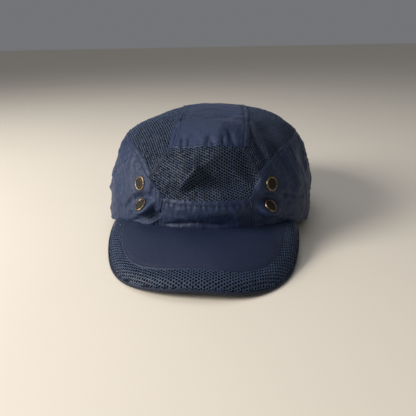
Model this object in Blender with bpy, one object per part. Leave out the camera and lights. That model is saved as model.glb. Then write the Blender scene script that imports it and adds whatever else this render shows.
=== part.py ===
"""Bump cap: a cut-and-sewn cap with mesh panels, a stiffened peak and a removable impact shell.

Metres, +Z up, the peak towards -Y. The cap stands on z = 0 on its rear hem and the two corners
of its peak, and x = y = 0 is the middle of its outline.
"""

import math

import bmesh
import bpy
import numpy as np
from mathutils import Matrix, Vector

# Crown, measured to the outside of the fabric from its widest section
CROWN_WIDTH = 0.194
CROWN_FRONT = 0.102
CROWN_REAR = 0.115
CROWN_HEIGHT = 0.103
PLAN_POWER = 2.15
WALL_POWER = 4.0
SHOULDER_POWER = 2.15
FABRIC = 0.0012
SEAM_GAP = 0.0006

# Hem: level behind, rising to the brow in front
BROW_RISE = 0.0215
BROW_START = 0.008
HEM_TAPE_FOOT = 0.001
HEM_TAPE_HEIGHT = 0.008
HEM_TAPE_THICKNESS = 0.0012

# Crown seams
STRIP_WIDTH = 0.054
STRIP_FRONT_DROP = 0.022
SIDE_CORNER_X = 0.044
SIDE_CORNER_SHARE = 0.446
BAND_CORNER_X = 0.033
BAND_HEIGHT = 0.0243
BAND_FOOT_X = 0.038
SIDE_SEAM_DROP = 0.025
SIDE_SEAM_REAR_RISE = 0.018
SIDE_SEAM_TURNS = (-28.0, 0.0, 30.0)
SIDE_SEAM_START_TURN = -48.0
MESH_TAIL = 0.012
SEAM_TAPE_WIDTH = 0.012
SEAM_TAPE_THICKNESS = 0.0006

# Rear opening with its binding
ARCH_HALF_WIDTH = 0.043
ARCH_HEIGHT = 0.046
BINDING_WIDTH = 0.004
BINDING_LIFT = 0.0004

# Sweatband, whose ends stop short of the rear opening
SWEATBAND_HEIGHT = 0.032
SWEATBAND_THICKNESS = 0.0026
SWEATBAND_SETBACK = 0.007

# Peak
PEAK_REACH = 0.0605
PEAK_END_Y = -0.060
PEAK_SIDE_POWER = 2.5
PEAK_FRONT_POWER = 3.4
PEAK_FRONT_LIFT = 0.006
PEAK_LIFT_HALF_WIDTH = 0.062
PEAK_DROP_SHARE = 0.17
PEAK_CAMBER = 0.0025
PEAK_SEAM_COVER = 0.0022
PEAK_BOARD = 0.0020
PEAK_COVER = 0.0008
PEAK_LAYER_GAP = 0.0005
PEAK_TAPER = 0.115
PEAK_BORDER_SIDE = 0.0135
PEAK_BORDER_FRONT = 0.0140
PEAK_PANEL_POWER = 3.2
PEAK_BINDING = 0.0018
PEAK_COLUMNS = 41
PEAK_END_SHARE = 0.02
PANEL_END_SHARE = 0.008
RAY_SPACING = math.radians(0.6)

# Ventilation eyelets, out from and below the side corner, and out from and above the band's foot
UPPER_EYELET_OFFSET = (0.008, -0.0065)
LOWER_EYELET_OFFSET = (0.0115, 0.0150)
EYELET_FLANGE_WIDTH = 0.0014
EYELET_BORE_RADIUS = 0.0040
EYELET_WALL = 0.0004
EYELET_FLANGE = 0.0007
EYELET_CLEARANCE = 0.0003
EYELET_BARREL = 0.0029
EYELET_SAG = 0.0002
EYELET_DRILL_DEPTH = 0.006
EYELET_SEGMENTS = 16
WASHER_THICKNESS = 0.0004
SCREEN_THICKNESS = 0.0004

# Impact shell and its pads
SHELL_SIDE_CLEARANCE = 0.0085
SHELL_FRONT_CLEARANCE = 0.0125
SHELL_REAR_CLEARANCE = 0.0085
SHELL_TOP_CLEARANCE = 0.0085
SHELL_WALL_POWER = 2.7
SHELL_THICKNESS = 0.0024
SHELL_RIM_ABOVE_BAND = 0.003
VENT_WIDTH = 0.007
VENT_LENGTH = 0.022
VENT_DEPTH = 0.012
VENT_ROWS = {"low": (0.011, 8, 22.5), "high": (0.002, 4, 0.0)}
PAD_THICKNESS = 0.0055
PAD_GAP = 0.0008
PAD_HALF_TURN = 30.0
PAD_ABOVE_RIM = 0.005
PAD_SHARE = 0.5
CROWN_PAD_SIDE = 0.060

# Rear closure, its strap running round the wall and back through a ring
STRAP_WIDTH = 0.022
STRAP_THICKNESS = 0.0014
STRAP_SEWN_LENGTH = 0.019
TAB_FOLD_LENGTH = 0.022
TAIL_LENGTH = 0.050
TAPE_INSET = 0.0015
TAPE_START = 0.006
RING_WIRE = 0.0024
RING_FOOT = 0.0033
RING_SLOT = 0.010
RING_BAR_X = -0.012
TAIL_ROOT_GAP = 0.0020
FOLD_STUB = 0.0014

LAYER_GAP = 0.0003

HALF = 0.5
BISECTIONS = 50
FAR_OUT = 20.0
NUDGE = 1e-4
HALF_WIDTH = CROWN_WIDTH * HALF
STRIP_FRONT_HEIGHT = CROWN_HEIGHT - STRIP_FRONT_DROP
BAND_TOP_HEIGHT = BROW_RISE + BAND_HEIGHT
SIDE_CORNER_HEIGHT = BAND_TOP_HEIGHT + SIDE_CORNER_SHARE * (STRIP_FRONT_HEIGHT - BAND_TOP_HEIGHT)
SIDE_SEAM_HEIGHT = CROWN_HEIGHT - SIDE_SEAM_DROP
SIDE_SEAM_REAR = ARCH_HEIGHT + SIDE_SEAM_REAR_RISE
SWEATBAND_END = ARCH_HALF_WIDTH + SWEATBAND_SETBACK
EYELET_FLANGE_RADIUS = EYELET_BORE_RADIUS + EYELET_WALL + EYELET_FLANGE_WIDTH
STRAP_SEWN_X = ARCH_HALF_WIDTH + STRAP_SEWN_LENGTH
STRAP_BOTTOM = RING_FOOT + RING_WIRE + LAYER_GAP
TAB_BAR_X = RING_BAR_X - RING_SLOT - RING_WIRE
SIDES = {"left": -1, "right": 1}
PAD_MIDDLES = {"right_pad": 0.0, "rear_pad": 90.0, "left_pad": 180.0, "front_pad": 270.0}


def material(name, colour, roughness, metallic=0.0):
    made = bpy.data.materials.new(name)
    made.use_nodes = True
    shader = made.node_tree.nodes["Principled BSDF"]
    shader.inputs["Base Color"].default_value = (*colour, 1.0)
    shader.inputs["Roughness"].default_value = roughness
    shader.inputs["Metallic"].default_value = metallic
    return made


class Dome:
    """A superelliptic dome standing on z = 0, star-shaped about its foot's centre."""

    def __init__(self, half_width, front, rear, height, wall_power, shoulder_power):
        self.sizes = (half_width, front, rear, height)
        self.wall_power = wall_power
        self.shoulder_power = shoulder_power

    def _scaled(self, points, depth):
        half_width, front, rear, height = (size - depth for size in self.sizes)
        reach = np.where(points[..., 1] < 0, front, rear)
        across = np.abs(points[..., 0] / half_width) ** PLAN_POWER
        along = np.abs(points[..., 1] / reach) ** PLAN_POWER
        return (across + along) ** (1 / PLAN_POWER), np.abs(points[..., 2]) / height

    def project(self, points, depth=0.0):
        """Moves each point along its ray from the centre onto the dome, inset by depth."""
        points = np.asarray(points, float)
        ring, rise = self._scaled(points, depth)
        low, high = np.zeros(ring.shape), np.full(ring.shape, FAR_OUT)
        for _ in range(BISECTIONS):
            middle = (low + high) * HALF
            value = (middle * ring) ** self.shoulder_power + (middle * rise) ** self.wall_power
            low = np.where(value < 1, middle, low)
            high = np.where(value < 1, high, middle)
        return points * low[..., None]

    def at(self, azimuth, z, depth=0.0):
        """The point at this azimuth, counted from +X, and this height."""
        half_width, front, rear, height = (size - depth for size in self.sizes)
        share = max(0.0, 1 - (max(z, 0.0) / height) ** self.wall_power)
        ring = share ** (1 / self.shoulder_power)
        across, along = math.cos(azimuth), math.sin(azimuth)
        reach = front if along < 0 else rear
        spread = (abs(across) ** PLAN_POWER + abs(along) ** PLAN_POWER) ** (-1 / PLAN_POWER)
        return np.array((half_width * ring * across * spread, reach * ring * along * spread, z))

    def at_x(self, x, z, rear=False):
        """The point at this x and height, on the front or the rear."""
        half_width, front, back, height = self.sizes
        ring = (1 - (z / height) ** self.wall_power) ** (1 / self.shoulder_power)
        left = max(0.0, ring**PLAN_POWER - abs(x / half_width) ** PLAN_POWER)
        y = left ** (1 / PLAN_POWER)
        return np.array((x, y * back if rear else -y * front, z))

    def over(self, x, y):
        """The point of the dome above this plan position."""
        ring = self._scaled(np.array((x, y, 0.0)), 0.0)[0]
        z = self.sizes[3] * (1 - min(1.0, ring) ** self.shoulder_power) ** (1 / self.wall_power)
        return np.array((x, y, z))

    def normal(self, point):
        """The outward unit normal, from two short steps on the surface."""
        point = np.asarray(point, float)
        upright = np.array((0.0, 0.0, 1.0))
        across = np.cross(upright, point)
        across /= np.linalg.norm(across)
        first = self.project(point + across * NUDGE) - self.project(point - across * NUDGE)
        second = self.project(point + upright * NUDGE) - self.project(point - upright * NUDGE)
        normal = np.cross(first, second)
        return normal / np.linalg.norm(normal)


CROWN = Dome(HALF_WIDTH, CROWN_FRONT, CROWN_REAR, CROWN_HEIGHT, WALL_POWER, SHOULDER_POWER)
SHELL = Dome(
    HALF_WIDTH - SHELL_SIDE_CLEARANCE,
    CROWN_FRONT - SHELL_FRONT_CLEARANCE,
    CROWN_REAR - SHELL_REAR_CLEARANCE,
    CROWN_HEIGHT - SHELL_TOP_CLEARANCE,
    SHELL_WALL_POWER,
    SHOULDER_POWER,
)
PEAK_STACK = PEAK_BOARD + 2 * PEAK_COVER + 2 * PEAK_LAYER_GAP
FOLD_RADIUS = RING_WIRE * HALF + LAYER_GAP + STRAP_THICKNESS * HALF
STRAP_RUN = BINDING_LIFT + LAYER_GAP + STRAP_THICKNESS * HALF
RING_RUN = STRAP_RUN + FOLD_RADIUS
TAIL_RUN = RING_RUN + FOLD_RADIUS
TAPE_THICKNESS = (2 * FOLD_RADIUS - STRAP_THICKNESS - 3 * LAYER_GAP) * HALF


def smooth(share):
    share = min(1.0, max(0.0, share))
    return share * share * (3 - 2 * share)


def hem_height(y):
    """Height of the crown's lower edge at this distance from the widest section."""
    return BROW_RISE * smooth((-y - BROW_START) / (CROWN_FRONT - BROW_START))


def hem_point(azimuth, lift=0.0, depth=0.0):
    """A point of the hem, or of a line that follows it at a height above."""
    point = CROWN.at(azimuth, 0.0, depth)
    return CROWN.at(azimuth, hem_height(point[1]) + lift, depth)


def azimuth_of(x, y_sign):
    """Azimuth of the hem point with this x, in front or behind."""
    low, high = 0.0, math.pi * HALF
    for _ in range(BISECTIONS):
        middle = (low + high) * HALF
        if CROWN.at(middle * y_sign, 0.0)[0] > abs(x):
            low = middle
        else:
            high = middle
    return (low if x >= 0 else math.pi - low) * y_sign


def through(points, count):
    """Evenly spaced points along the broken line through these points, put onto the crown."""
    points = np.array(points, float)
    steps = np.linalg.norm(np.diff(points, axis=0), axis=1)
    along = np.concatenate([[0.0], np.cumsum(steps)])
    wanted = np.linspace(0.0, along[-1], count)
    return CROWN.project(np.stack([np.interp(wanted, along, points[:, k]) for k in range(3)], 1))


def coons(bottom, top, start, end):
    """The grid between four edges that meet at its corners."""
    u = np.linspace(0, 1, len(bottom))[:, None, None]
    v = np.linspace(0, 1, len(start))[None, :, None]
    ruled = (1 - v) * bottom[:, None] + v * top[:, None]
    crossed = (1 - u) * start[None, :] + u * end[None, :]
    low = (1 - u) * bottom[0] + u * bottom[-1]
    high = (1 - u) * top[0] + u * top[-1]
    return ruled + crossed - ((1 - v) * low + v * high)


def trimmed(grid, gap=SEAM_GAP * HALF):
    """The grid with its four edges pulled in, which leaves a gap to what is sewn on there."""
    grid = grid.copy()
    for edge, inner in ((0, 1), (-1, -2)):
        for axis in (0, 1):
            rows = grid if axis == 0 else grid.swapaxes(0, 1)
            pull = rows[inner] - rows[edge]
            length = np.linalg.norm(pull, axis=-1, keepdims=True)
            rows[edge] = rows[edge] + pull / np.maximum(length, 1e-9) * gap
    return grid


def thick_mesh(name, outer, inner):
    """A closed mesh between two grids of the same size."""
    rows, columns = outer.shape[:2]
    points = np.concatenate([outer.reshape(-1, 3), inner.reshape(-1, 3)])
    layer = rows * columns
    faces = []
    for i in range(rows - 1):
        for j in range(columns - 1):
            a = i * columns + j
            b, c, d = a + columns, a + columns + 1, a + 1
            faces.append((a, b, c, d))
            faces.append((a + layer, d + layer, c + layer, b + layer))
    rim = [i * columns for i in range(rows)]
    rim += [(rows - 1) * columns + j for j in range(1, columns)]
    rim += [i * columns + columns - 1 for i in range(rows - 2, -1, -1)]
    rim += [j for j in range(columns - 2, 0, -1)]
    for a, b in zip(rim, rim[1:] + rim[:1]):
        faces.append((b, a, a + layer, b + layer))
    mesh = bpy.data.meshes.new(name)
    mesh.from_pydata([tuple(p) for p in points], [], faces)
    work = bmesh.new()
    work.from_mesh(mesh)
    bmesh.ops.recalc_face_normals(work, faces=work.faces)
    if work.calc_volume(signed=True) < 0:
        bmesh.ops.reverse_faces(work, faces=work.faces)
    work.to_mesh(mesh)
    work.free()
    return mesh


def place(name, mesh, finish, parent=None):
    made = bpy.data.objects.new(name, mesh)
    bpy.context.scene.collection.objects.link(made)
    mesh.materials.append(finish)
    mesh.shade_smooth()
    mesh.set_sharp_from_angle(angle=math.radians(40))
    made.parent = parent
    return made


def panel(name, grid, finish, depth=0.0, thickness=FABRIC, dome=CROWN, parent=None):
    """A sewn panel: a patch of the dome between two depths."""
    outer = dome.project(grid, depth)
    inner = dome.project(grid, depth + thickness)
    return place(name, thick_mesh(name, outer, inner), finish, parent)


def cutter(name, mesh, matrix, parent=None):
    made = bpy.data.objects.new(name, mesh)
    bpy.context.scene.collection.objects.link(made)
    made.matrix_local = matrix
    made.hide_render = True
    made.display_type = "WIRE"
    made.parent = parent
    return made


def cut(target, tool):
    change = target.modifiers.new("cut_" + tool.name, "BOOLEAN")
    change.operation = "DIFFERENCE"
    change.object = tool


def facing(point, direction):
    """The placement at point with its local Z along direction."""
    turn = Vector(direction).to_track_quat("Z", "Y").to_matrix().to_4x4()
    return Matrix.Translation(Vector(point)) @ turn


def turned(name, profile, segments):
    """A mesh from a closed profile of (radius, height) turned about Z."""
    points, faces = [], []
    for k in range(segments):
        angle = 2 * math.pi * k / segments
        points += [(r * math.cos(angle), r * math.sin(angle), z) for r, z in profile]
    count = len(profile)
    for k in range(segments):
        near, far = k * count, (k + 1) % segments * count
        for j in range(count):
            after = (j + 1) % count
            faces.append((near + j, far + j, far + after, near + after))
    mesh = bpy.data.meshes.new(name)
    mesh.from_pydata(points, [], faces)
    work = bmesh.new()
    work.from_mesh(mesh)
    if work.calc_volume(signed=True) < 0:
        bmesh.ops.reverse_faces(work, faces=work.faces)
    work.to_mesh(mesh)
    work.free()
    return mesh


def disc(name, radius, thickness, segments):
    mesh = bpy.data.meshes.new(name)
    work = bmesh.new()
    bmesh.ops.create_cone(
        work, cap_ends=True, segments=segments, radius1=radius, radius2=radius, depth=thickness
    )
    work.to_mesh(mesh)
    work.free()
    return mesh


def slot_prism(name, width, length, depth):
    """A prism with round ends, its long side along local X."""
    steps = 6
    straight = (length - width) * HALF
    outline = []
    for end in (1, -1):
        for k in range(steps + 1):
            angle = (k / steps - HALF) * math.pi + (0 if end > 0 else math.pi)
            x = end * straight + math.cos(angle) * width * HALF
            outline.append((x, math.sin(angle) * width * HALF))
    mesh = bpy.data.meshes.new(name)
    work = bmesh.new()
    face = work.faces.new([work.verts.new((x, y, -depth * HALF)) for x, y in outline])
    made = bmesh.ops.extrude_face_region(work, geom=[face])
    moved = [v for v in made["geom"] if isinstance(v, bmesh.types.BMVert)]
    bmesh.ops.translate(work, verts=moved, vec=(0, 0, depth))
    bmesh.ops.recalc_face_normals(work, faces=work.faces)
    work.to_mesh(mesh)
    work.free()
    return mesh


def arch_height(x):
    """Height of the rear opening's edge at this x."""
    return ARCH_HEIGHT * math.sqrt(max(0.0, 1 - (x / ARCH_HALF_WIDTH) ** 2))


def mirrored(points, side):
    return [np.array((p[0] * side, p[1], p[2])) for p in points]


# The seam corners of the right half of the crown
STRIP_X = STRIP_WIDTH * HALF
STRIP_FRONT = CROWN.at_x(STRIP_X, STRIP_FRONT_HEIGHT)
FRONT_SIDE = CROWN.at_x(SIDE_CORNER_X, SIDE_CORNER_HEIGHT)
BAND_TOP = CROWN.at_x(BAND_CORNER_X, BAND_TOP_HEIGHT)
BAND_FOOT = hem_point(azimuth_of(BAND_FOOT_X, -1))
SEAM_RISE = CROWN.at(
    math.radians(SIDE_SEAM_START_TURN), (SIDE_CORNER_HEIGHT + 3 * SIDE_SEAM_HEIGHT) / 4
)
SEAM_MIDDLE = [CROWN.at(math.radians(a), SIDE_SEAM_HEIGHT) for a in SIDE_SEAM_TURNS]
SEAM_REAR = CROWN.at_x(STRIP_X, SIDE_SEAM_REAR, rear=True)
MESH_REAR = CROWN.at_x(STRIP_X, SIDE_SEAM_REAR + MESH_TAIL, rear=True)


def level(from_x, to_x, z, count):
    """Points of the front wall at one height."""
    return np.array([CROWN.at_x(x, z) for x in np.linspace(from_x, to_x, count)])


def lengthways(x, count, low_front, low_rear):
    """A line over the crown at this x, from a height in front to a height behind."""
    front = CROWN.at_x(x, low_front)
    rear = CROWN.at_x(x, low_rear, rear=True)
    turns = np.linspace(0, math.pi, 18)[1:-1]
    over = [CROWN.over(x, front[1] + (rear[1] - front[1]) * (1 - math.cos(a)) * HALF) for a in turns]
    return through([front, *over, rear], count)


def build_crown(navy, netting):
    """The seven sewn panels. Returns the side panels, whose eyelet holes come later."""
    columns = np.linspace(-STRIP_X, STRIP_X, 8)
    strip = [lengthways(x, 24, STRIP_FRONT_HEIGHT, arch_height(x)) for x in columns]
    panel("top_strip", trimmed(np.stack(strip)), navy)

    left, right = (mirrored([STRIP_FRONT, FRONT_SIDE, BAND_TOP], side) for side in (-1, 1))
    top = level(-STRIP_X, STRIP_X, STRIP_FRONT_HEIGHT, 8)
    foot = level(-BAND_CORNER_X, BAND_CORNER_X, BAND_TOP_HEIGHT, 8)
    front = coons(top, foot, through(left, 11), through(right, 11))
    panel("front_mesh_panel", trimmed(front), netting)

    turns = np.linspace(azimuth_of(-BAND_FOOT_X, -1), azimuth_of(BAND_FOOT_X, -1), 8)
    hem = np.array([hem_point(a) for a in turns])
    band = coons(foot, hem, through([left[2], hem[0]], 4), through([right[2], hem[-1]], 4))
    panel("front_band", trimmed(band), navy)

    sides = {}
    arch = [
        CROWN.at_x(x, arch_height(x), rear=True) for x in np.linspace(STRIP_X, ARCH_HALF_WIDTH, 8)
    ]
    turns = np.linspace(azimuth_of(BAND_FOOT_X, -1), azimuth_of(ARCH_HALF_WIDTH, 1), 31)
    for name, side in SIDES.items():
        seam = mirrored([FRONT_SIDE, SEAM_RISE, *SEAM_MIDDLE, SEAM_REAR], side)
        mesh_panel = coons(
            lengthways(side * STRIP_X, 22, STRIP_FRONT_HEIGHT, MESH_REAR[2]),
            through(seam, 22),
            through(mirrored([STRIP_FRONT, FRONT_SIDE], side), 6),
            through(mirrored([MESH_REAR, SEAM_REAR], side), 6),
        )
        panel(f"{name}_mesh_panel", trimmed(mesh_panel), netting)
        upper = mirrored([BAND_TOP, FRONT_SIDE, SEAM_RISE, *SEAM_MIDDLE, SEAM_REAR], side)
        side_panel = coons(
            through(upper, 45),
            through(mirrored([hem_point(a) for a in turns], side), 45),
            through(mirrored([BAND_TOP, BAND_FOOT], side), 15),
            through(mirrored([SEAM_REAR, *arch], side), 15),
        )
        sides[name] = panel(f"{name}_side_panel", trimmed(side_panel), navy)
    return sides


def build_tapes(tape):
    """The binding of the rear opening, the seam tapes inside and the tape inside the hem."""
    turns = np.linspace(0, math.pi, 25)
    rows = []
    for inset in (SEAM_GAP, SEAM_GAP + BINDING_WIDTH):
        half_width, height = ARCH_HALF_WIDTH - inset, ARCH_HEIGHT - inset
        rows.append([
            CROWN.at_x(half_width * math.cos(a), height * math.sin(a), rear=True) for a in turns
        ])
    binding = np.array(rows)
    panel("rear_opening_binding", binding, tape, -BINDING_LIFT, FABRIC + 2 * BINDING_LIFT)

    inside = FABRIC + LAYER_GAP
    low_rear = ARCH_HEIGHT + SEAM_GAP
    for name, side in SIDES.items():
        edges = (side * STRIP_X - SEAM_TAPE_WIDTH * HALF, side * STRIP_X + SEAM_TAPE_WIDTH * HALF)
        grid = [lengthways(x, 20, STRIP_FRONT_HEIGHT, low_rear) for x in edges]
        panel(f"{name}_seam_tape", np.stack(grid), tape, inside, SEAM_TAPE_THICKNESS)

    grid = hem_rows((HEM_TAPE_FOOT, HEM_TAPE_HEIGHT))
    panel("hem_tape", grid, tape, inside, HEM_TAPE_THICKNESS)


def hem_rows(lifts):
    """Lines that follow the hem from one side of the rear opening round to the other."""
    stop = azimuth_of(SWEATBAND_END, 1)
    turns = np.linspace(-math.pi - stop, stop, 53)
    return np.array([[hem_point(a, lift) for a in turns] for lift in lifts])


def build_sweatband(finish):
    depth = FABRIC + HEM_TAPE_THICKNESS + 2 * LAYER_GAP
    grid = hem_rows((0.0, SWEATBAND_HEIGHT * HALF, SWEATBAND_HEIGHT))
    panel("sweatband", grid, finish, depth, SWEATBAND_THICKNESS)


def azimuth_at_y(y):
    """Azimuth of the right-hand hem point with this y, in front."""
    low, high = -math.pi * HALF, 0.0
    for _ in range(BISECTIONS):
        middle = (low + high) * HALF
        if CROWN.at(middle, 0.0)[1] < y:
            low = middle
        else:
            high = middle
    return low


def front_azimuth(point):
    """Azimuth of a plan point in front of the crown, between -180 degrees and 0."""
    return -math.pi + math.atan2(-point[1], -point[0])


def bow(half_width, start_y, end_y, share, side_power, front_power):
    """A rounded U in plan, share 0 at its left end and 1 at its right end."""
    angle = math.pi * (1 - share)
    across, along = math.cos(angle), abs(math.sin(angle))
    out = along ** (2 / front_power)
    x = math.copysign(abs(across) ** (2 / side_power), across) * half_width
    return np.array((x * (1 - PEAK_TAPER * out), start_y + (end_y - start_y) * out))


def outline(share):
    """The peak's free edge in plan."""
    return bow(PEAK_HALF_WIDTH, PEAK_END_Y, PEAK_TIP_Y, share, PEAK_SIDE_POWER, PEAK_FRONT_POWER)


def panel_outline(share):
    """The edge of the smooth panel on the peak, in plan."""
    half_width = PEAK_HALF_WIDTH - PEAK_BORDER_SIDE
    start = hem_point(azimuth_of(half_width, -1))[1]
    front = PEAK_TIP_Y + PEAK_BORDER_FRONT
    return bow(half_width, start, front, share, PEAK_PANEL_POWER, PEAK_PANEL_POWER)


def seam_height(y):
    """Underside of the peak where it meets the crown."""
    return max(0.0, hem_height(y) + PEAK_SEAM_COVER - PEAK_STACK)


def edge_height(share):
    """Underside of the free edge: high where it meets the crown, on the table at the corners."""
    near_end = 1 - smooth(min(share, 1 - share) / PEAK_DROP_SHARE)
    x = outline(share)[0]
    middle = max(0.0, 1 - (x / PEAK_LIFT_HALF_WIDTH) ** 2) ** 2
    return seam_height(PEAK_END_Y) * near_end + PEAK_FRONT_LIFT * middle


PEAK_TIP_Y = -CROWN_FRONT - PEAK_REACH
PEAK_HALF_WIDTH = float(hem_point(azimuth_at_y(PEAK_END_Y))[0])
EDGE_SHARES = np.linspace(0, 1, 401)
EDGE = np.array([outline(share) for share in EDGE_SHARES])
EDGE_AZIMUTHS = [front_azimuth(point) for point in EDGE]
EDGE_RADII = np.linalg.norm(EDGE, axis=1)
EDGE_HEIGHTS = [edge_height(share) for share in EDGE_SHARES]


def peak_underside(x, y):
    """Height of the peak's underside at this plan position."""
    azimuth = front_azimuth((x, y))
    wall = CROWN.at(azimuth, 0.0)
    near = math.hypot(wall[0], wall[1])
    far = float(np.interp(azimuth, EDGE_AZIMUTHS, EDGE_RADII))
    low = float(np.interp(azimuth, EDGE_AZIMUTHS, EDGE_HEIGHTS))
    share = min(1.0, max(0.0, (math.hypot(x, y) - near) / max(SEAM_GAP, far - near)))
    high = seam_height(wall[1])
    return high + (low - high) * share + PEAK_CAMBER * math.sin(math.pi * share)


def peak_rays():
    """Azimuths of the lines that every layer is built on, and the two that bound the panel."""
    ends = [front_azimuth(panel_outline(share)) for share in (PANEL_END_SHARE, 1 - PANEL_END_SHARE)]
    shares = np.linspace(PEAK_END_SHARE, 1 - PEAK_END_SHARE, PEAK_COLUMNS)
    rays = [front_azimuth(outline(share)) for share in shares]
    apart = [ray for ray in rays if min(abs(ray - end) for end in ends) > RAY_SPACING]
    return np.array(sorted(apart + ends)), ends


def fan(rays, near, far, rows):
    """The plan grid between two radii along each ray."""
    radii = near[:, None] + (far - near)[:, None] * np.linspace(0, 1, rows)
    return np.dstack([radii * np.cos(rays)[:, None], radii * np.sin(rays)[:, None]])


def peak_layer(name, plan, lift, thickness, finish):
    """A layer of the peak over this grid of plan points, lift above the underside."""
    heights = np.array([[peak_underside(x, y) for x, y in row] for row in plan])
    lower = np.dstack([plan, heights + lift])
    upper = lower + np.array((0.0, 0.0, thickness))
    place(name, thick_mesh(name, upper, lower), finish)


def offset_line(points, distance):
    """The plan line moved outward by a distance."""
    along = np.gradient(points, axis=0)
    out = np.stack([along[:, 1], -along[:, 0]], 1)
    return points + out / np.linalg.norm(out, axis=1, keepdims=True) * distance


def build_peak(navy, netting, board, under, tape):
    """The layers of the peak, from its lower cover to the binding round its edge."""
    rays, (first, last) = peak_rays()
    near = np.array([np.linalg.norm(CROWN.at(ray, 0.0)) for ray in rays]) + SEAM_GAP
    far = np.interp(rays, EDGE_AZIMUTHS, EDGE_RADII)
    above = PEAK_COVER + PEAK_LAYER_GAP
    top = above + PEAK_BOARD + PEAK_LAYER_GAP
    whole = fan(rays, near, far, 9)
    peak_layer("peak_under_cover", whole, 0.0, PEAK_COVER, under)
    peak_layer("peak_board", whole, above, PEAK_BOARD, board)

    line = np.array([panel_outline(share) for share in EDGE_SHARES])
    split = np.interp(rays, [front_azimuth(point) for point in line], np.linalg.norm(line, axis=1))
    inside = (rays >= first) & (rays <= last)
    smooth_panel = fan(rays[inside], near[inside], split[inside] - SEAM_GAP * HALF, 7)
    peak_layer("peak_top_panel", smooth_panel, top, PEAK_COVER, navy)
    begin = np.where(inside, split + SEAM_GAP * HALF, near)
    peak_layer("peak_mesh_border", fan(rays, begin, far, 6), top, PEAK_COVER, netting)

    edge = fan(rays, far, far, 1)[:, 0]
    heights = np.interp(rays, EDGE_AZIMUTHS, EDGE_HEIGHTS)
    rim = [offset_line(edge, distance) for distance in (SEAM_GAP, SEAM_GAP + PEAK_BINDING)]
    lower = np.array([np.column_stack([points, heights]) for points in rim])
    upper = lower + np.array((0.0, 0.0, PEAK_STACK))
    place("peak_edge_binding", thick_mesh("peak_edge_binding", upper, lower), tape)


def build_eyelets(sides, brass):
    """A flanged eyelet with a screen in its bore and a washer inside, in each of four places."""
    hole_radius = EYELET_BORE_RADIUS + EYELET_WALL + EYELET_CLEARANCE
    seat = EYELET_CLEARANCE + EYELET_SAG
    half_flange = EYELET_FLANGE * HALF
    barrel = EYELET_BORE_RADIUS + EYELET_WALL
    foot = seat - EYELET_BARREL
    flange = [
        (EYELET_BORE_RADIUS, foot),
        (barrel, foot),
        (barrel, seat),
        (EYELET_FLANGE_RADIUS, seat),
        (EYELET_FLANGE_RADIUS, seat + half_flange),
        (EYELET_FLANGE_RADIUS - half_flange, seat + EYELET_FLANGE),
        (barrel, seat + EYELET_FLANGE),
        (EYELET_BORE_RADIUS, seat + half_flange),
    ]
    washer_face = -FABRIC - EYELET_CLEARANCE - 2 * EYELET_SAG
    washer = [
        (barrel + EYELET_CLEARANCE, washer_face - WASHER_THICKNESS),
        (EYELET_FLANGE_RADIUS, washer_face - WASHER_THICKNESS),
        (EYELET_FLANGE_RADIUS, washer_face),
        (barrel + EYELET_CLEARANCE, washer_face),
    ]
    places = {
        "upper": (SIDE_CORNER_X + UPPER_EYELET_OFFSET[0], SIDE_CORNER_HEIGHT + UPPER_EYELET_OFFSET[1]),
        "lower": (BAND_FOOT_X + LOWER_EYELET_OFFSET[0], BROW_RISE + LOWER_EYELET_OFFSET[1]),
    }
    for name, side in SIDES.items():
        for row, (out, height) in places.items():
            point = CROWN.at_x(side * out, height)
            matrix = facing(point, CROWN.normal(point))
            drill = disc("drill", hole_radius, EYELET_DRILL_DEPTH, EYELET_SEGMENTS)
            cut(sides[name], cutter(f"{name}_{row}_drill", drill, matrix))
            screen_radius = EYELET_BORE_RADIUS - EYELET_CLEARANCE
            pieces = {
                "eyelet": turned("eyelet", flange, EYELET_SEGMENTS),
                "washer": turned("washer", washer, EYELET_SEGMENTS),
                "screen": disc("screen", screen_radius, SCREEN_THICKNESS, EYELET_SEGMENTS),
            }
            for kind, mesh in pieces.items():
                place(f"{name}_{row}_{kind}", mesh, brass).matrix_local = matrix


def shell_rim(azimuth):
    """A point of the shell's rim, just above the sweatband."""
    height = hem_height(CROWN.at(azimuth, 0.0)[1]) + SWEATBAND_HEIGHT + SHELL_RIM_ABOVE_BAND
    return SHELL.at(azimuth, height)


def build_shell(plastic, parent):
    """The impact shell: one closed skin with two rows of vents."""
    segments, rings = 44, 11
    rim = np.array([shell_rim(2 * math.pi * k / segments) for k in range(segments)])
    top = np.array((0.0, 0.0, CROWN_HEIGHT))
    shares = np.linspace(0, 1, rings)[:-1, None, None]
    rays = rim[None] * (1 - shares) + top * shares
    work = bmesh.new()
    rims = []
    for depth in (0.0, SHELL_THICKNESS):
        skin = [[work.verts.new(p) for p in row] for row in SHELL.project(rays, depth)]
        crest = work.verts.new(SHELL.project(top[None], depth)[0])
        rims.append(skin[0])
        for k in range(segments):
            after = (k + 1) % segments
            for low, high in zip(skin, skin[1:]):
                work.faces.new((low[k], low[after], high[after], high[k]))
            work.faces.new((skin[-1][k], skin[-1][after], crest))
    for k in range(segments):
        after = (k + 1) % segments
        work.faces.new((rims[0][k], rims[0][after], rims[1][after], rims[1][k]))
    bmesh.ops.recalc_face_normals(work, faces=work.faces)
    mesh = bpy.data.meshes.new("hard_shell")
    work.to_mesh(mesh)
    work.free()
    shell = place("hard_shell", mesh, plastic, parent)
    for row, (drop, count, turn) in VENT_ROWS.items():
        for k in range(count):
            height = SHELL.sizes[3] - drop
            point = SHELL.at(math.radians(turn) + 2 * math.pi * k / count, height)
            normal = Vector(SHELL.normal(point))
            along = Vector((0, 0, 1)).cross(normal).normalized()
            turn_to = Matrix((along, normal.cross(along), normal)).transposed().to_4x4()
            matrix = Matrix.Translation(Vector(point)) @ turn_to
            slot = slot_prism("vent", VENT_WIDTH, VENT_LENGTH, VENT_DEPTH)
            cut(shell, cutter(f"{row}_vent_{k}", slot, matrix, parent))


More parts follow.
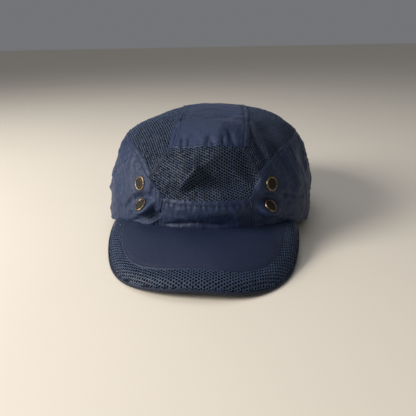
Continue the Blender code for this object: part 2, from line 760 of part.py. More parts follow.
def build_pads(foam, parent):
    """Foam pads stuck inside the shell."""
    depth = SHELL_THICKNESS + PAD_GAP
    for name, middle in PAD_MIDDLES.items():
        turns = np.radians(np.linspace(middle - PAD_HALF_TURN, middle + PAD_HALF_TURN, 9))
        floor = shell_rim(math.radians(middle))[2] + PAD_ABOVE_RIM
        heights = np.linspace(floor, floor + PAD_SHARE * (SHELL.sizes[3] - floor), 5)
        grid = np.array([[SHELL.at(a, z) for a in turns] for z in heights])
        panel(name, grid, foam, depth, PAD_THICKNESS, SHELL, parent)
    flat = np.linspace(-CROWN_PAD_SIDE * HALF, CROWN_PAD_SIDE * HALF, 7)
    grid = np.array([[SHELL.over(x, y) for y in flat] for x in flat])
    panel("crown_pad", grid, foam, depth, PAD_THICKNESS, SHELL, parent)


def rear_point(x, outside):
    """A plan point behind the crown's rear wall, straight out from the wall at this x."""
    base = CROWN.at_x(x, 0.0, rear=True)
    away = CROWN.normal(base + np.array((0.0, 0.0, SEAM_GAP)))[:2]
    return base[:2] + away / np.linalg.norm(away) * outside


def run(from_x, to_x, outside, count):
    """Plan points along the rear wall at one distance outside it."""
    return [rear_point(x, outside) for x in np.linspace(from_x, to_x, count)]


def fold(bar_x, towards):
    """Plan points of the turn round a bar of the ring, from the inner run to the outer run."""
    centre = rear_point(bar_x, RING_RUN)
    out = rear_point(bar_x, TAIL_RUN) - centre
    out /= np.linalg.norm(out)
    side = np.array((out[1], -out[0])) * towards
    turns = np.linspace(-math.pi * HALF, math.pi * HALF, 9)
    return [centre + (side * math.cos(a) + out * math.sin(a)) * FOLD_RADIUS for a in turns]


def ribbon(name, path, thickness, inset, finish, parent=None):
    """An upright band that follows a plan path, cut from the strap's width less an inset."""
    path = np.array(path)
    along = np.gradient(path, axis=0)
    out = np.stack([-along[:, 1], along[:, 0]], 1)
    out /= np.linalg.norm(out, axis=1, keepdims=True)
    faces = []
    for offset in (thickness * HALF, -thickness * HALF):
        line = path + out * offset
        low, high = STRAP_BOTTOM + inset, STRAP_BOTTOM + STRAP_WIDTH - inset
        rows = [np.column_stack([line, np.full(len(line), z)]) for z in (low, high)]
        faces.append(np.array(rows))
    return place(name, thick_mesh(name, *faces), finish, parent)


def build_ring(finish):
    """The rectangular ring between the tab and the strap."""
    ends = [Vector((*rear_point(x, RING_RUN), 0.0)) for x in (TAB_BAR_X, RING_BAR_X)]
    half_wide = (ends[1] - ends[0]).length * HALF
    half_high = STRAP_WIDTH * HALF + LAYER_GAP + RING_WIRE * HALF
    work = bmesh.new()
    loops = []
    for angle in np.radians(np.arange(22.5, 360.0, 45.0)):
        grow, y = RING_WIRE * HALF * math.cos(angle), RING_WIRE * HALF * math.sin(angle)
        wide, high = half_wide + grow, half_high + grow
        corners = ((-wide, -high), (wide, -high), (wide, high), (-wide, high))
        loops.append([work.verts.new((x, y, z)) for x, z in corners])
    for a, b in zip(loops, loops[1:] + loops[:1]):
        for k in range(4):
            work.faces.new((a[k], a[(k + 1) % 4], b[(k + 1) % 4], b[k]))
    bmesh.ops.recalc_face_normals(work, faces=work.faces)
    mesh = bpy.data.meshes.new("closure_ring")
    work.to_mesh(mesh)
    work.free()
    ring = place("closure_ring", mesh, finish)
    ring.location = (ends[0] + ends[1]) * HALF + Vector((0, 0, STRAP_BOTTOM + STRAP_WIDTH * HALF))
    ring.rotation_euler.z = math.atan2(ends[1].y - ends[0].y, ends[1].x - ends[0].x)


def build_closure(webbing, plastic, hooks, loops):
    """The tab, the ring and the strap, whose tail folds back on itself and peels off."""
    build_ring(plastic)
    tab = run(-STRAP_SEWN_X, TAB_BAR_X - FOLD_RADIUS * HALF, STRAP_RUN, 10) + fold(TAB_BAR_X, 1)
    tab += run(TAB_BAR_X - FOLD_RADIUS * HALF, TAB_BAR_X - TAB_FOLD_LENGTH, TAIL_RUN, 6)
    ribbon("closure_tab", tab, STRAP_THICKNESS, 0.0, webbing)
    strap = run(STRAP_SEWN_X, RING_BAR_X + FOLD_RADIUS * HALF, STRAP_RUN, 16) + fold(RING_BAR_X, -1)
    strap.append(rear_point(RING_BAR_X + FOLD_STUB, TAIL_RUN))
    ribbon("closure_strap", strap, STRAP_THICKNESS, 0.0, webbing)
    tape_end = RING_BAR_X + TAIL_LENGTH
    loop_run = STRAP_RUN + (STRAP_THICKNESS + TAPE_THICKNESS) * HALF + LAYER_GAP
    hook_run = loop_run + TAPE_THICKNESS + LAYER_GAP
    loop_path = run(RING_BAR_X + TAPE_START, tape_end, loop_run, 12)
    hook_path = run(RING_BAR_X + TAPE_START, tape_end, hook_run, 12)
    ribbon("loop_tape", loop_path, TAPE_THICKNESS, TAPE_INSET, loops)

    root = rear_point(RING_BAR_X, TAIL_RUN)
    peel = bpy.data.objects.new("tail_fold", None)
    bpy.context.scene.collection.objects.link(peel)
    peel.location = (root[0], root[1], STRAP_BOTTOM + STRAP_WIDTH * HALF)
    tail_path = run(RING_BAR_X + TAIL_ROOT_GAP, tape_end + TAPE_START, TAIL_RUN, 14)
    for piece in (
        ribbon("closure_tail", tail_path, STRAP_THICKNESS, 0.0, webbing),
        ribbon("hook_tape", hook_path, TAPE_THICKNESS, TAPE_INSET, hooks),
    ):
        piece.parent = peel
        piece.matrix_parent_inverse = Matrix.Translation(-peel.location)


def centre_plan():
    """Moves everything so that x = y = 0 is the middle of the outline and z = 0 is the table."""
    bpy.context.view_layer.update()
    depsgraph = bpy.context.evaluated_depsgraph_get()
    low, high = np.full(3, np.inf), np.full(3, -np.inf)
    for piece in bpy.context.scene.objects:
        if piece.type == "MESH" and not piece.hide_render:
            solid = piece.evaluated_get(depsgraph)
            corners = np.array([solid.matrix_world @ v.co for v in solid.data.vertices])
            low, high = np.minimum(low, corners.min(0)), np.maximum(high, corners.max(0))
    shift = Vector((-(low[0] + high[0]) * HALF, -(low[1] + high[1]) * HALF, -low[2]))
    for piece in bpy.context.scene.objects:
        if piece.parent is None:
            piece.location += shift


def main():
    for old in list(bpy.data.objects):
        bpy.data.objects.remove(old)
    navy = material("navy_nylon", (0.050, 0.062, 0.110), 0.55)
    netting = material("navy_netting", (0.035, 0.047, 0.080), 0.7)
    tape = material("binding_tape", (0.020, 0.026, 0.048), 0.7)
    brass = material("antique_brass", (0.30, 0.21, 0.10), 0.35, 1.0)
    terry = material("sweatband_terry", (0.012, 0.014, 0.020), 0.95)
    board = material("board_plastic", (0.10, 0.10, 0.11), 0.5)
    abs_plastic = material("shell_plastic", (0.015, 0.015, 0.017), 0.35)
    foam = material("eva_foam", (0.020, 0.020, 0.022), 0.9)
    webbing = material("strap_webbing", (0.020, 0.026, 0.048), 0.8)
    hooks = material("hook_tape", (0.010, 0.010, 0.012), 0.6)
    loops = material("loop_tape", (0.014, 0.014, 0.018), 0.95)

    sides = build_crown(navy, netting)
    build_tapes(tape)
    build_sweatband(terry)
    build_peak(navy, netting, board, navy, tape)
    build_eyelets(sides, brass)
    insert = bpy.data.objects.new("insert", None)
    bpy.context.scene.collection.objects.link(insert)
    build_shell(abs_plastic, insert)
    build_pads(foam, insert)
    build_closure(webbing, abs_plastic, hooks, loops)
    centre_plan()


main()
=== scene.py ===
import math
import bmesh
import bpy
import numpy as np
from mathutils import Matrix, Vector, noise


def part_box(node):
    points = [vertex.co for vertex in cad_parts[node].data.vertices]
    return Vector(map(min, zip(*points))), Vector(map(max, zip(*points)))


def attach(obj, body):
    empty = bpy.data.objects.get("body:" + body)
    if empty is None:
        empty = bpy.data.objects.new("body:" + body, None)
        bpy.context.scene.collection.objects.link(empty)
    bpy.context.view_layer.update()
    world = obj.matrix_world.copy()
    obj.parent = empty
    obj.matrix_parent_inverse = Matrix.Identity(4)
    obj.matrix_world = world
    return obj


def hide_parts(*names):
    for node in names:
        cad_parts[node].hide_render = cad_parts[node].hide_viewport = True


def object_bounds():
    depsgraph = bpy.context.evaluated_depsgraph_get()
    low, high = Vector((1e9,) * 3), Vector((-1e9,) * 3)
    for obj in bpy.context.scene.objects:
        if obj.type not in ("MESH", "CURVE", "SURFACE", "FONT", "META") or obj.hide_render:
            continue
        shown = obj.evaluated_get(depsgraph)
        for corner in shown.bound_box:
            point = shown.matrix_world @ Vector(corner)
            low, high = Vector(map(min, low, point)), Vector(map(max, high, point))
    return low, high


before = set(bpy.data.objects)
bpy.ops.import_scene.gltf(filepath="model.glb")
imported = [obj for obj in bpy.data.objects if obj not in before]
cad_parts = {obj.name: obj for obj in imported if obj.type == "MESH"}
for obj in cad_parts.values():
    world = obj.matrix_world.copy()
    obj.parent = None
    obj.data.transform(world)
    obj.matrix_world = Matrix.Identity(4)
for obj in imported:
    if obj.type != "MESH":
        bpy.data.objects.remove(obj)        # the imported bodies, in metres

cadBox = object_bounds()
mm = 0.001

# camera and light

cameraSetup = {
    "place": (0.025, -0.365, 0.160),
    "turn": 4.03,        # degrees to the left of straight on
    "tilt": 22.5,        # degrees downwards
    "roll": 1.1,
    "lens": 34.9,
}
lightSetup = {
    "key": {"place": (-0.92, -0.42, 0.58), "size": 0.50, "watts": 15.5, "tint": (1.0, 0.97, 0.93)},
    "sky": {"place": (-0.25, 0.30, 1.15), "size": 0.9, "watts": 3.2, "tint": (0.86, 0.92, 1.0)},
    "room": (0.80, 0.82, 0.86),
    "roomStrength": 0.215,
    "floor": (0.92, 0.83, 0.70),
}


def addCamera():
    made = bpy.data.objects.new("camera", bpy.data.cameras.new("camera"))
    bpy.context.scene.collection.objects.link(made)
    turn, tilt = math.radians(cameraSetup["turn"]), math.radians(cameraSetup["tilt"])
    look = Matrix.Rotation(turn, 4, "Z") @ Matrix.Rotation(math.pi / 2 - tilt, 4, "X")
    roll = Matrix.Rotation(math.radians(-cameraSetup["roll"]), 4, "Z")
    made.matrix_world = Matrix.Translation(cameraSetup["place"]) @ look @ roll
    made.data.lens = cameraSetup["lens"]
    made.data.clip_start = 0.01
    bpy.context.scene.camera = made


def addLamp(name, setup):
    lamp = bpy.data.lights.new(name, "AREA")
    lamp.energy, lamp.size, lamp.color = setup["watts"], setup["size"], setup["tint"]
    made = bpy.data.objects.new(name, lamp)
    bpy.context.scene.collection.objects.link(made)
    aim = Vector((0, 0, 0.04)) - Vector(setup["place"])
    made.matrix_world = Matrix.Translation(setup["place"]) @ aim.to_track_quat("-Z", "Y").to_matrix().to_4x4()


def addRoom():
    world = bpy.data.worlds.new("room")
    bpy.context.scene.world = world
    world.use_nodes = True
    sky = world.node_tree.nodes["Background"]
    sky.inputs["Color"].default_value = (*lightSetup["room"], 1)
    sky.inputs["Strength"].default_value = lightSetup["roomStrength"]
    bpy.context.scene.view_settings.view_transform = "Standard"
    addLamp("keyLamp", lightSetup["key"])
    addLamp("skyLamp", lightSetup["sky"])


# shader groups and materials

def newGroup(name, inputs, outputs):
    group = bpy.data.node_groups.new(name, "ShaderNodeTree")
    for label, kind, value in inputs:
        socket = group.interface.new_socket(label, in_out="INPUT", socket_type=kind)
        if value is not None:
            socket.default_value = value
    for label, kind in outputs:
        group.interface.new_socket(label, in_out="OUTPUT", socket_type=kind)
    return group, group.nodes.new("NodeGroupInput"), group.nodes.new("NodeGroupOutput")


def addMath(tree, operation, first, second=None, clamp=False):
    node = tree.nodes.new("ShaderNodeMath")
    node.operation = operation
    node.use_clamp = clamp
    for k, value in enumerate((first, second)):
        if value is None:
            continue
        if isinstance(value, (int, float)):
            node.inputs[k].default_value = value
        else:
            tree.links.new(value, node.inputs[k])
    return node.outputs[0]


def addNoise(tree, vector, scale, detail=2.0, rough=0.5):
    node = tree.nodes.new("ShaderNodeTexNoise")
    node.inputs["Detail"].default_value = detail
    node.inputs["Roughness"].default_value = rough
    if isinstance(scale, (int, float)):
        node.inputs["Scale"].default_value = scale
    else:
        tree.links.new(scale, node.inputs["Scale"])
    tree.links.new(vector, node.inputs["Vector"])
    return node.outputs["Fac"]


def weaveGroup():
    # over and under threads, from a flat map in metres; the gap output marks the hollows between threads, where the
    # cloth's colour gets painted shade
    group, into, out = newGroup(
        "plainWeave",
        [("Flat", "NodeSocketVector", None), ("Threads", "NodeSocketFloat", 1600.0)],
        [("Height", "NodeSocketFloat"), ("GapShade", "NodeSocketFloat")],
    )
    split = group.nodes.new("ShaderNodeSeparateXYZ")
    group.links.new(into.outputs["Flat"], split.inputs[0])
    turns = addMath(group, "MULTIPLY", into.outputs["Threads"], math.pi)
    across = addMath(group, "MULTIPLY", split.outputs["X"], turns)
    along = addMath(group, "MULTIPLY", split.outputs["Y"], turns)
    warp = addMath(group, "ABSOLUTE", addMath(group, "SINE", across))
    weft = addMath(group, "ABSOLUTE", addMath(group, "SINE", along))
    side = addMath(group, "MULTIPLY", addMath(group, "COSINE", across), addMath(group, "COSINE", along))
    lift = addMath(group, "MULTIPLY_ADD", side, 0.5)
    group.nodes[-1].inputs[2].default_value = 0.5
    over = addMath(group, "MULTIPLY", warp, lift)
    under = addMath(group, "MULTIPLY", weft, addMath(group, "SUBTRACT", 1.0, lift))
    height = addMath(group, "ADD", over, under)
    group.links.new(height, out.inputs["Height"])
    # painted shade: one where neither thread covers, used to darken the cloth's colour there
    gapShade = addMath(group, "SUBTRACT", 1.0, addMath(group, "MAXIMUM", warp, weft), clamp=True)
    group.links.new(gapShade, out.inputs["GapShade"])
    return group


def wearGroup():
    # faded patches and a little lint, from Object coordinates
    group, into, out = newGroup(
        "wearAndLint",
        [("Place", "NodeSocketVector", None), ("Fading", "NodeSocketFloat", 0.3), ("Lint", "NodeSocketFloat", 0.2)],
        [("Shade", "NodeSocketFloat"), ("Lint", "NodeSocketFloat"), ("Crinkle", "NodeSocketFloat")],
    )
    cloud = addNoise(group, into.outputs["Place"], 22.0, 4.0, 0.6)
    grain = addNoise(group, into.outputs["Place"], 420.0, 2.0, 0.6)
    both = addMath(group, "ADD", addMath(group, "MULTIPLY", cloud, 0.75), addMath(group, "MULTIPLY", grain, 0.25))
    centred = addMath(group, "SUBTRACT", both, 0.5)
    fading = addMath(group, "MULTIPLY", into.outputs["Fading"], 2.0)
    shade = addMath(group, "ADD", 1.0, addMath(group, "MULTIPLY", centred, fading))
    group.links.new(shade, out.inputs["Shade"])
    speck = addNoise(group, into.outputs["Place"], 900.0, 1.0, 0.5)
    sharp = addMath(group, "MULTIPLY", addMath(group, "SUBTRACT", speck, 0.70), 12.0, clamp=True)
    group.links.new(addMath(group, "MULTIPLY", sharp, into.outputs["Lint"]), out.inputs["Lint"])
    crease = addNoise(group, into.outputs["Place"], 150.0, 3.0, 0.55)
    ridge = addMath(group, "ABSOLUTE", addMath(group, "SUBTRACT", crease, 0.5))
    crinkle = addMath(group, "SUBTRACT", 1.0, addMath(group, "MULTIPLY", ridge, 5.0), clamp=True)
    group.links.new(crinkle, out.inputs["Crinkle"])
    return group


groups = {}


def place(tree, name):
    node = tree.nodes.new("ShaderNodeGroup")
    node.node_tree = groups[name]
    return node


def startMaterial(name, rough, metallic=0.0, sheen=0.0, gloss=0.5):
    made = bpy.data.materials.new(name)
    made.use_nodes = True
    tree = made.node_tree
    shader = tree.nodes["Principled BSDF"]
    shader.inputs["Roughness"].default_value = rough
    shader.inputs["Metallic"].default_value = metallic
    shader.inputs["Sheen Weight"].default_value = sheen
    shader.inputs["Sheen Roughness"].default_value = 0.35
    shader.inputs["Sheen Tint"].default_value = (0.55, 0.65, 1.0, 1)
    shader.inputs["Specular IOR Level"].default_value = gloss
    where = tree.nodes.new("ShaderNodeTexCoord")
    return made, tree, shader, where


def mixColour(tree, share, first, second):
    node = tree.nodes.new("ShaderNodeMix")
    node.data_type = "RGBA"
    for socket, value in ((node.inputs[0], share), (node.inputs[6], first), (node.inputs[7], second)):
        if isinstance(value, (int, float)):
            socket.default_value = value
        elif isinstance(value, tuple):
            socket.default_value = (*value, 1)
        else:
            tree.links.new(value, socket)
    return node.outputs[2]


def scaleColour(tree, colour, shade):
    node = tree.nodes.new("ShaderNodeVectorMath")
    node.operation = "SCALE"
    if isinstance(colour, tuple):
        node.inputs[0].default_value = colour
    else:
        tree.links.new(colour, node.inputs[0])
    tree.links.new(shade, node.inputs["Scale"])
    return node.outputs[0]


def addBump(tree, height, distance, strength, below=None):
    node = tree.nodes.new("ShaderNodeBump")
    node.inputs["Strength"].default_value = strength
    node.inputs["Distance"].default_value = distance
    tree.links.new(height, node.inputs["Height"])
    if below is not None:
        tree.links.new(below, node.inputs["Normal"])
    return node.outputs["Normal"]


def clothMaterial(name, colour, rough, threads, weaveDepth, crinkle, fading=0.35, lint=0.15, sheen=0.25):
    # woven cloth: threads from the flat map, with painted shade in the gaps between them; fading, lint and small
    # creases from the place
    made, tree, shader, where = startMaterial(name, rough, sheen=sheen, gloss=0.28)
    weave, wear = place(tree, "weave"), place(tree, "wear")
    weave.inputs["Threads"].default_value = threads
    wear.inputs["Fading"].default_value = fading
    wear.inputs["Lint"].default_value = lint
    tree.links.new(where.outputs["UV"], weave.inputs["Flat"])
    tree.links.new(where.outputs["Object"], wear.inputs["Place"])
    base = scaleColour(tree, colour, wear.outputs["Shade"])
    # painted shade: the colour goes darker in the gaps between threads
    gapShadeColour = tuple(c * 0.45 for c in colour)
    threaded = mixColour(tree, weave.outputs["GapShade"], base, gapShadeColour)
    dusty = mixColour(tree, wear.outputs["Lint"], threaded, (0.30, 0.32, 0.36))
    tree.links.new(dusty, shader.inputs["Base Color"])
    folds = addBump(tree, wear.outputs["Crinkle"], crinkle, 0.5)
    tree.links.new(addBump(tree, weave.outputs["Height"], weaveDepth, 0.6, folds), shader.inputs["Normal"])
    spread = addMath(tree, "MULTIPLY_ADD", wear.outputs["Shade"], 0.25)
    tree.nodes[-1].inputs[2].default_value = rough - 0.25
    tree.links.new(spread, shader.inputs["Roughness"])
    return made


def brassMaterial():
    made, tree, shader, where = startMaterial("antiqueBrass", 0.34, metallic=1.0)
    tarnish = addNoise(tree, where.outputs["Object"], 480.0, 4.0, 0.65)
    worn = addMath(tree, "MULTIPLY", addMath(tree, "SUBTRACT", tarnish, 0.42), 5.0, clamp=True)
    colour = mixColour(tree, worn, (0.10, 0.068, 0.040), (0.38, 0.28, 0.16))
    tree.links.new(colour, shader.inputs["Base Color"])
    rough = addMath(tree, "MULTIPLY_ADD", worn, -0.18)
    tree.nodes[-1].inputs[2].default_value = 0.50
    tree.links.new(rough, shader.inputs["Roughness"])
    pits = addNoise(tree, where.outputs["Object"], 1900.0, 2.0)
    tree.links.new(addBump(tree, pits, 0.00008, 0.5), shader.inputs["Normal"])
    return made


def plasticMaterial(name, colour, rough, grainScale, grainDepth):
    made, tree, shader, where = startMaterial(name, rough)
    wear = place(tree, "wear")
    wear.inputs["Fading"].default_value = 0.25
    wear.inputs["Lint"].default_value = 0.10
    tree.links.new(where.outputs["Object"], wear.inputs["Place"])
    base = scaleColour(tree, colour, wear.outputs["Shade"])
    tree.links.new(mixColour(tree, wear.outputs["Lint"], base, (0.25, 0.25, 0.26)), shader.inputs["Base Color"])
    grain = addNoise(tree, where.outputs["Object"], grainScale, 3.0, 0.6)
    tree.links.new(addBump(tree, grain, grainDepth, 0.5), shader.inputs["Normal"])
    return made


def foamMaterial():
    made, tree, shader, where = startMaterial("padFoam", 0.9, sheen=0.15)
    cells = tree.nodes.new("ShaderNodeTexVoronoi")
    cells.inputs["Scale"].default_value = 1100.0
    tree.links.new(where.outputs["Object"], cells.inputs["Vector"])
    wear = place(tree, "wear")
    tree.links.new(where.outputs["Object"], wear.inputs["Place"])
    # painted shade: the colour is darker towards each cell's middle, where the bump sinks into a pit, on top of the
    # random faded tone
    shade = addMath(tree, "MULTIPLY", wear.outputs["Shade"], addMath(tree, "ADD", 0.6, cells.outputs["Distance"]))
    tree.links.new(scaleColour(tree, (0.030, 0.031, 0.034), shade), shader.inputs["Base Color"])
    tree.links.new(addBump(tree, cells.outputs["Distance"], 0.0004, 0.7), shader.inputs["Normal"])
    return made


def floorMaterial():
    made, tree, shader, where = startMaterial("paleTable", 0.55)
    cloud = addNoise(tree, where.outputs["Object"], 6.0, 4.0)
    colour = mixColour(tree, cloud, lightSetup["floor"], tuple(c * 0.94 for c in lightSetup["floor"]))
    tree.links.new(colour, shader.inputs["Base Color"])
    return made


groups["weave"], groups["wear"] = weaveGroup(), wearGroup()
finish = {
    "nylon": clothMaterial("crownNylon", (0.018, 0.032, 0.080), 0.45, 1900.0, 0.00010, 0.0005, sheen=0.10),
    "peakCloth": clothMaterial("peakCloth", (0.015, 0.023, 0.056), 0.50, 1500.0, 0.00012, 0.0001, 0.25, sheen=0.06),
    "netThread": clothMaterial("netThread", (0.036, 0.057, 0.106), 0.40, 2600.0, 0.00008, 0.0003, 0.45, 0.15, 0.12),
    "lining": clothMaterial("netLining", (0.006, 0.008, 0.010), 0.80, 1500.0, 0.0001, 0.0004, 0.4, 0.05, 0.02),
    "tape": clothMaterial("edgeTape", (0.014, 0.021, 0.045), 0.62, 1250.0, 0.00016, 0.0002, sheen=0.08),
    "terry": clothMaterial("sweatbandTerry", (0.016, 0.018, 0.026), 0.92, 1050.0, 0.0004, 0.0008, 0.5, 0.25, 0.5),
    "webbing": clothMaterial("strapWebbing", (0.024, 0.030, 0.056), 0.70, 900.0, 0.0003, 0.0002),
    "hooks": clothMaterial("hookTape", (0.014, 0.014, 0.017), 0.45, 700.0, 0.0006, 0.0001),
    "loops": clothMaterial("loopTape", (0.018, 0.019, 0.024), 0.95, 2300.0, 0.0005, 0.0010, 0.4, 0.3, 0.6),
    "thread": clothMaterial("sewingThread", (0.050, 0.066, 0.115), 0.50, 3000.0, 0.00008, 0.0001, sheen=0.1),
    "brass": brassMaterial(),
    "gauze": clothMaterial("eyeletGauze", (0.026, 0.021, 0.015), 0.50, 3000.0, 0.0001, 0.0001, 0.4, 0.05, 0.0),
    "shell": plasticMaterial("shellPlastic", (0.020, 0.020, 0.023), 0.38, 1400.0, 0.00008),
    "board": plasticMaterial("peakBoard", (0.10, 0.10, 0.11), 0.5, 900.0, 0.0001),
    "foam": foamMaterial(),
    "floor": floorMaterial(),
}
print("materials made")

# the crown's shape

crown = {
    "halfWidth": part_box("right_side_panel")[1][0],
    "front": 0.102,
    "rear": 0.115,
    "height": cadBox[1][2],
    "planPower": 2.15,
    "wallPower": 4.0,
    "shoulderPower": 2.15,
    "browRise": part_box("front_band")[0][2] - 0.0003,
    "browStart": 0.008,
}
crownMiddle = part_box("front_band")[0][1] + crown["front"] - 0.0002


search = {"farOut": 20.0, "halvings": 44, "nudge": 2e-4}


def domeProject(points):
    # along the ray from the middle of the crown's foot onto its surface
    points = np.asarray(points, float)
    reach = np.where(points[..., 1] < 0, crown["front"], crown["rear"])
    power, q, p = crown["planPower"], crown["shoulderPower"], crown["wallPower"]
    across, along = np.abs(points[..., 0] / crown["halfWidth"]), np.abs(points[..., 1] / reach)
    ring = (across**power + along**power) ** (1 / power)
    rise = np.abs(points[..., 2]) / crown["height"]
    low, high = np.zeros(ring.shape), np.full(ring.shape, search["farOut"])
    for step in range(search["halvings"]):
        middle = (low + high) / 2
        inside = (middle * ring) ** q + (middle * rise) ** p < 1
        low, high = np.where(inside, middle, low), np.where(inside, high, middle)
    return points * low[..., None]


def domeNormal(points):
    # two short steps on the surface
    step = search["nudge"]
    points = np.asarray(points, float)
    away = points / np.linalg.norm(points, axis=-1, keepdims=True)
    level = np.cross((0.0, 0.0, 1.0), away)
    level /= np.maximum(np.linalg.norm(level, axis=-1, keepdims=True), 1e-9)
    rising = np.cross(away, level)
    first = domeProject(points + level * step) - domeProject(points - level * step)
    second = domeProject(points + rising * step) - domeProject(points - rising * step)
    normal = np.cross(first, second)
    return normal / np.maximum(np.linalg.norm(normal, axis=-1, keepdims=True), 1e-12)


def wallSpot(x, z, rear=False):
    # the surface's point at this x and height, in front or behind
    x, z = np.broadcast_arrays(np.asarray(x, float), np.asarray(z, float))
    ring = np.maximum(0, 1 - (z / crown["height"]) ** crown["wallPower"]) ** (1 / crown["shoulderPower"])
    left = np.maximum(0, ring ** crown["planPower"] - np.abs(x / crown["halfWidth"]) ** crown["planPower"])
    y = left ** (1 / crown["planPower"])
    return np.stack([x, y * crown["rear"] if rear else -y * crown["front"], z], -1)


def roofSpot(x, y):
    # the surface's point above this plan position
    x, y = np.broadcast_arrays(np.asarray(x, float), np.asarray(y, float))
    reach = np.where(y < 0, crown["front"], crown["rear"])
    power = crown["planPower"]
    ring = (np.abs(x / crown["halfWidth"]) ** power + np.abs(y / reach) ** power) ** (1 / power)
    z = crown["height"] * np.maximum(0, 1 - ring ** crown["shoulderPower"]) ** (1 / crown["wallPower"])
    return np.stack([x, y, z], -1)


def turnSpot(turn, z):
    # the surface's point at this azimuth from +X and this height
    turn, z = np.broadcast_arrays(np.asarray(turn, float), np.asarray(z, float))
    across, along = np.cos(turn), np.sin(turn)
    ring = np.maximum(0, 1 - (np.maximum(z, 0) / crown["height"]) ** crown["wallPower"]) ** (1 / crown["shoulderPower"])
    spread = (np.abs(across) ** crown["planPower"] + np.abs(along) ** crown["planPower"]) ** (-1 / crown["planPower"])
    reach = np.where(along < 0, crown["front"], crown["rear"])
    return np.stack([crown["halfWidth"] * ring * across * spread, reach * ring * along * spread, z], -1)


def degreeSpot(degrees, z):
    return turnSpot(math.radians(degrees), z)


def smoothStep(share):
    share = np.clip(share, 0, 1)
    return share * share * (3 - 2 * share)


def hemHeight(y):
    return crown["browRise"] * smoothStep((-y - crown["browStart"]) / (crown["front"] - crown["browStart"]))


def hemSpot(turn):
    foot = turnSpot(turn, 0.0)
    return turnSpot(turn, hemHeight(foot[..., 1]))


def hemTurn(x, side):
    # azimuth of the hem's point with this x, in front (side -1) or behind (side 1)
    turns = np.linspace(0, math.pi / 2, 400)
    found = np.interp(-abs(x), -turnSpot(turns * side, 0.0)[:, 0], turns)
    return (found if x >= 0 else math.pi - found) * side


# how the soft crown lies: its lean, its dents and its creases

slump = {
    "lean": 0.0012,          # the front's seams lie this far to one side
    "leanAbove": 0.0035,     # and this much more over the top
    "sway": 0.0018,          # the whole crown leans over its foot
    "billow": 0.0011,
    "crinkle": 0.00120,
    "fineCrinkle": 0.00056,
    "lowerTilt": 45.0,       # how far the lower eyelets look up
    "lowerTurn": 24.0,       # and outwards
    "upperTurn": 9.0,
    "lowerOut": 0.0034,
    "keel": 0.0072,          # a soft fold down the front, that parts the light
    "keelAt": 0.011,
    "keelReach": 0.055,
    "seed": 7,
}
# place on the surface, radius across, radius up, depth (inwards is positive)
dents = [
    (roofSpot(-0.050, 0.020), 0.026, 0.050, 0.0040),      # the slack left shoulder
    (degreeSpot(178, 0.058), 0.060, 0.014, 0.0036),
    (degreeSpot(175, 0.086), 0.050, 0.009, -0.0008),
    (degreeSpot(4, 0.086), 0.050, 0.010, -0.0014),
    (wallSpot(0.014, 0.0605), 0.027, 0.0125, 0.0105),     # the hollow in the front netting
    (wallSpot(-0.0125, 0.0645), 0.010, 0.0075, -0.0054),  # what stands out beside it
    (wallSpot(-0.022, 0.0525), 0.012, 0.006, 0.0026),
    (roofSpot(0.0, -0.022), 0.024, 0.022, 0.0026),        # behind the strip's front
    (wallSpot(0.0, 0.0770), 0.026, 0.005, -0.0012),
    (wallSpot(0.004, 0.0300), 0.022, 0.005, 0.0010),
    (degreeSpot(-24, 0.060), 0.012, 0.022, 0.0040),
    (degreeSpot(-40, 0.090), 0.010, 0.020, 0.0036),
    (degreeSpot(-152, 0.050), 0.016, 0.014, 0.0020),
    (degreeSpot(20, 0.058), 0.045, 0.015, 0.0032),
    (degreeSpot(150, 0.058), 0.035, 0.015, 0.0036),
    (wallSpot(0.0, 0.072, True), 0.050, 0.018, 0.0045),
]
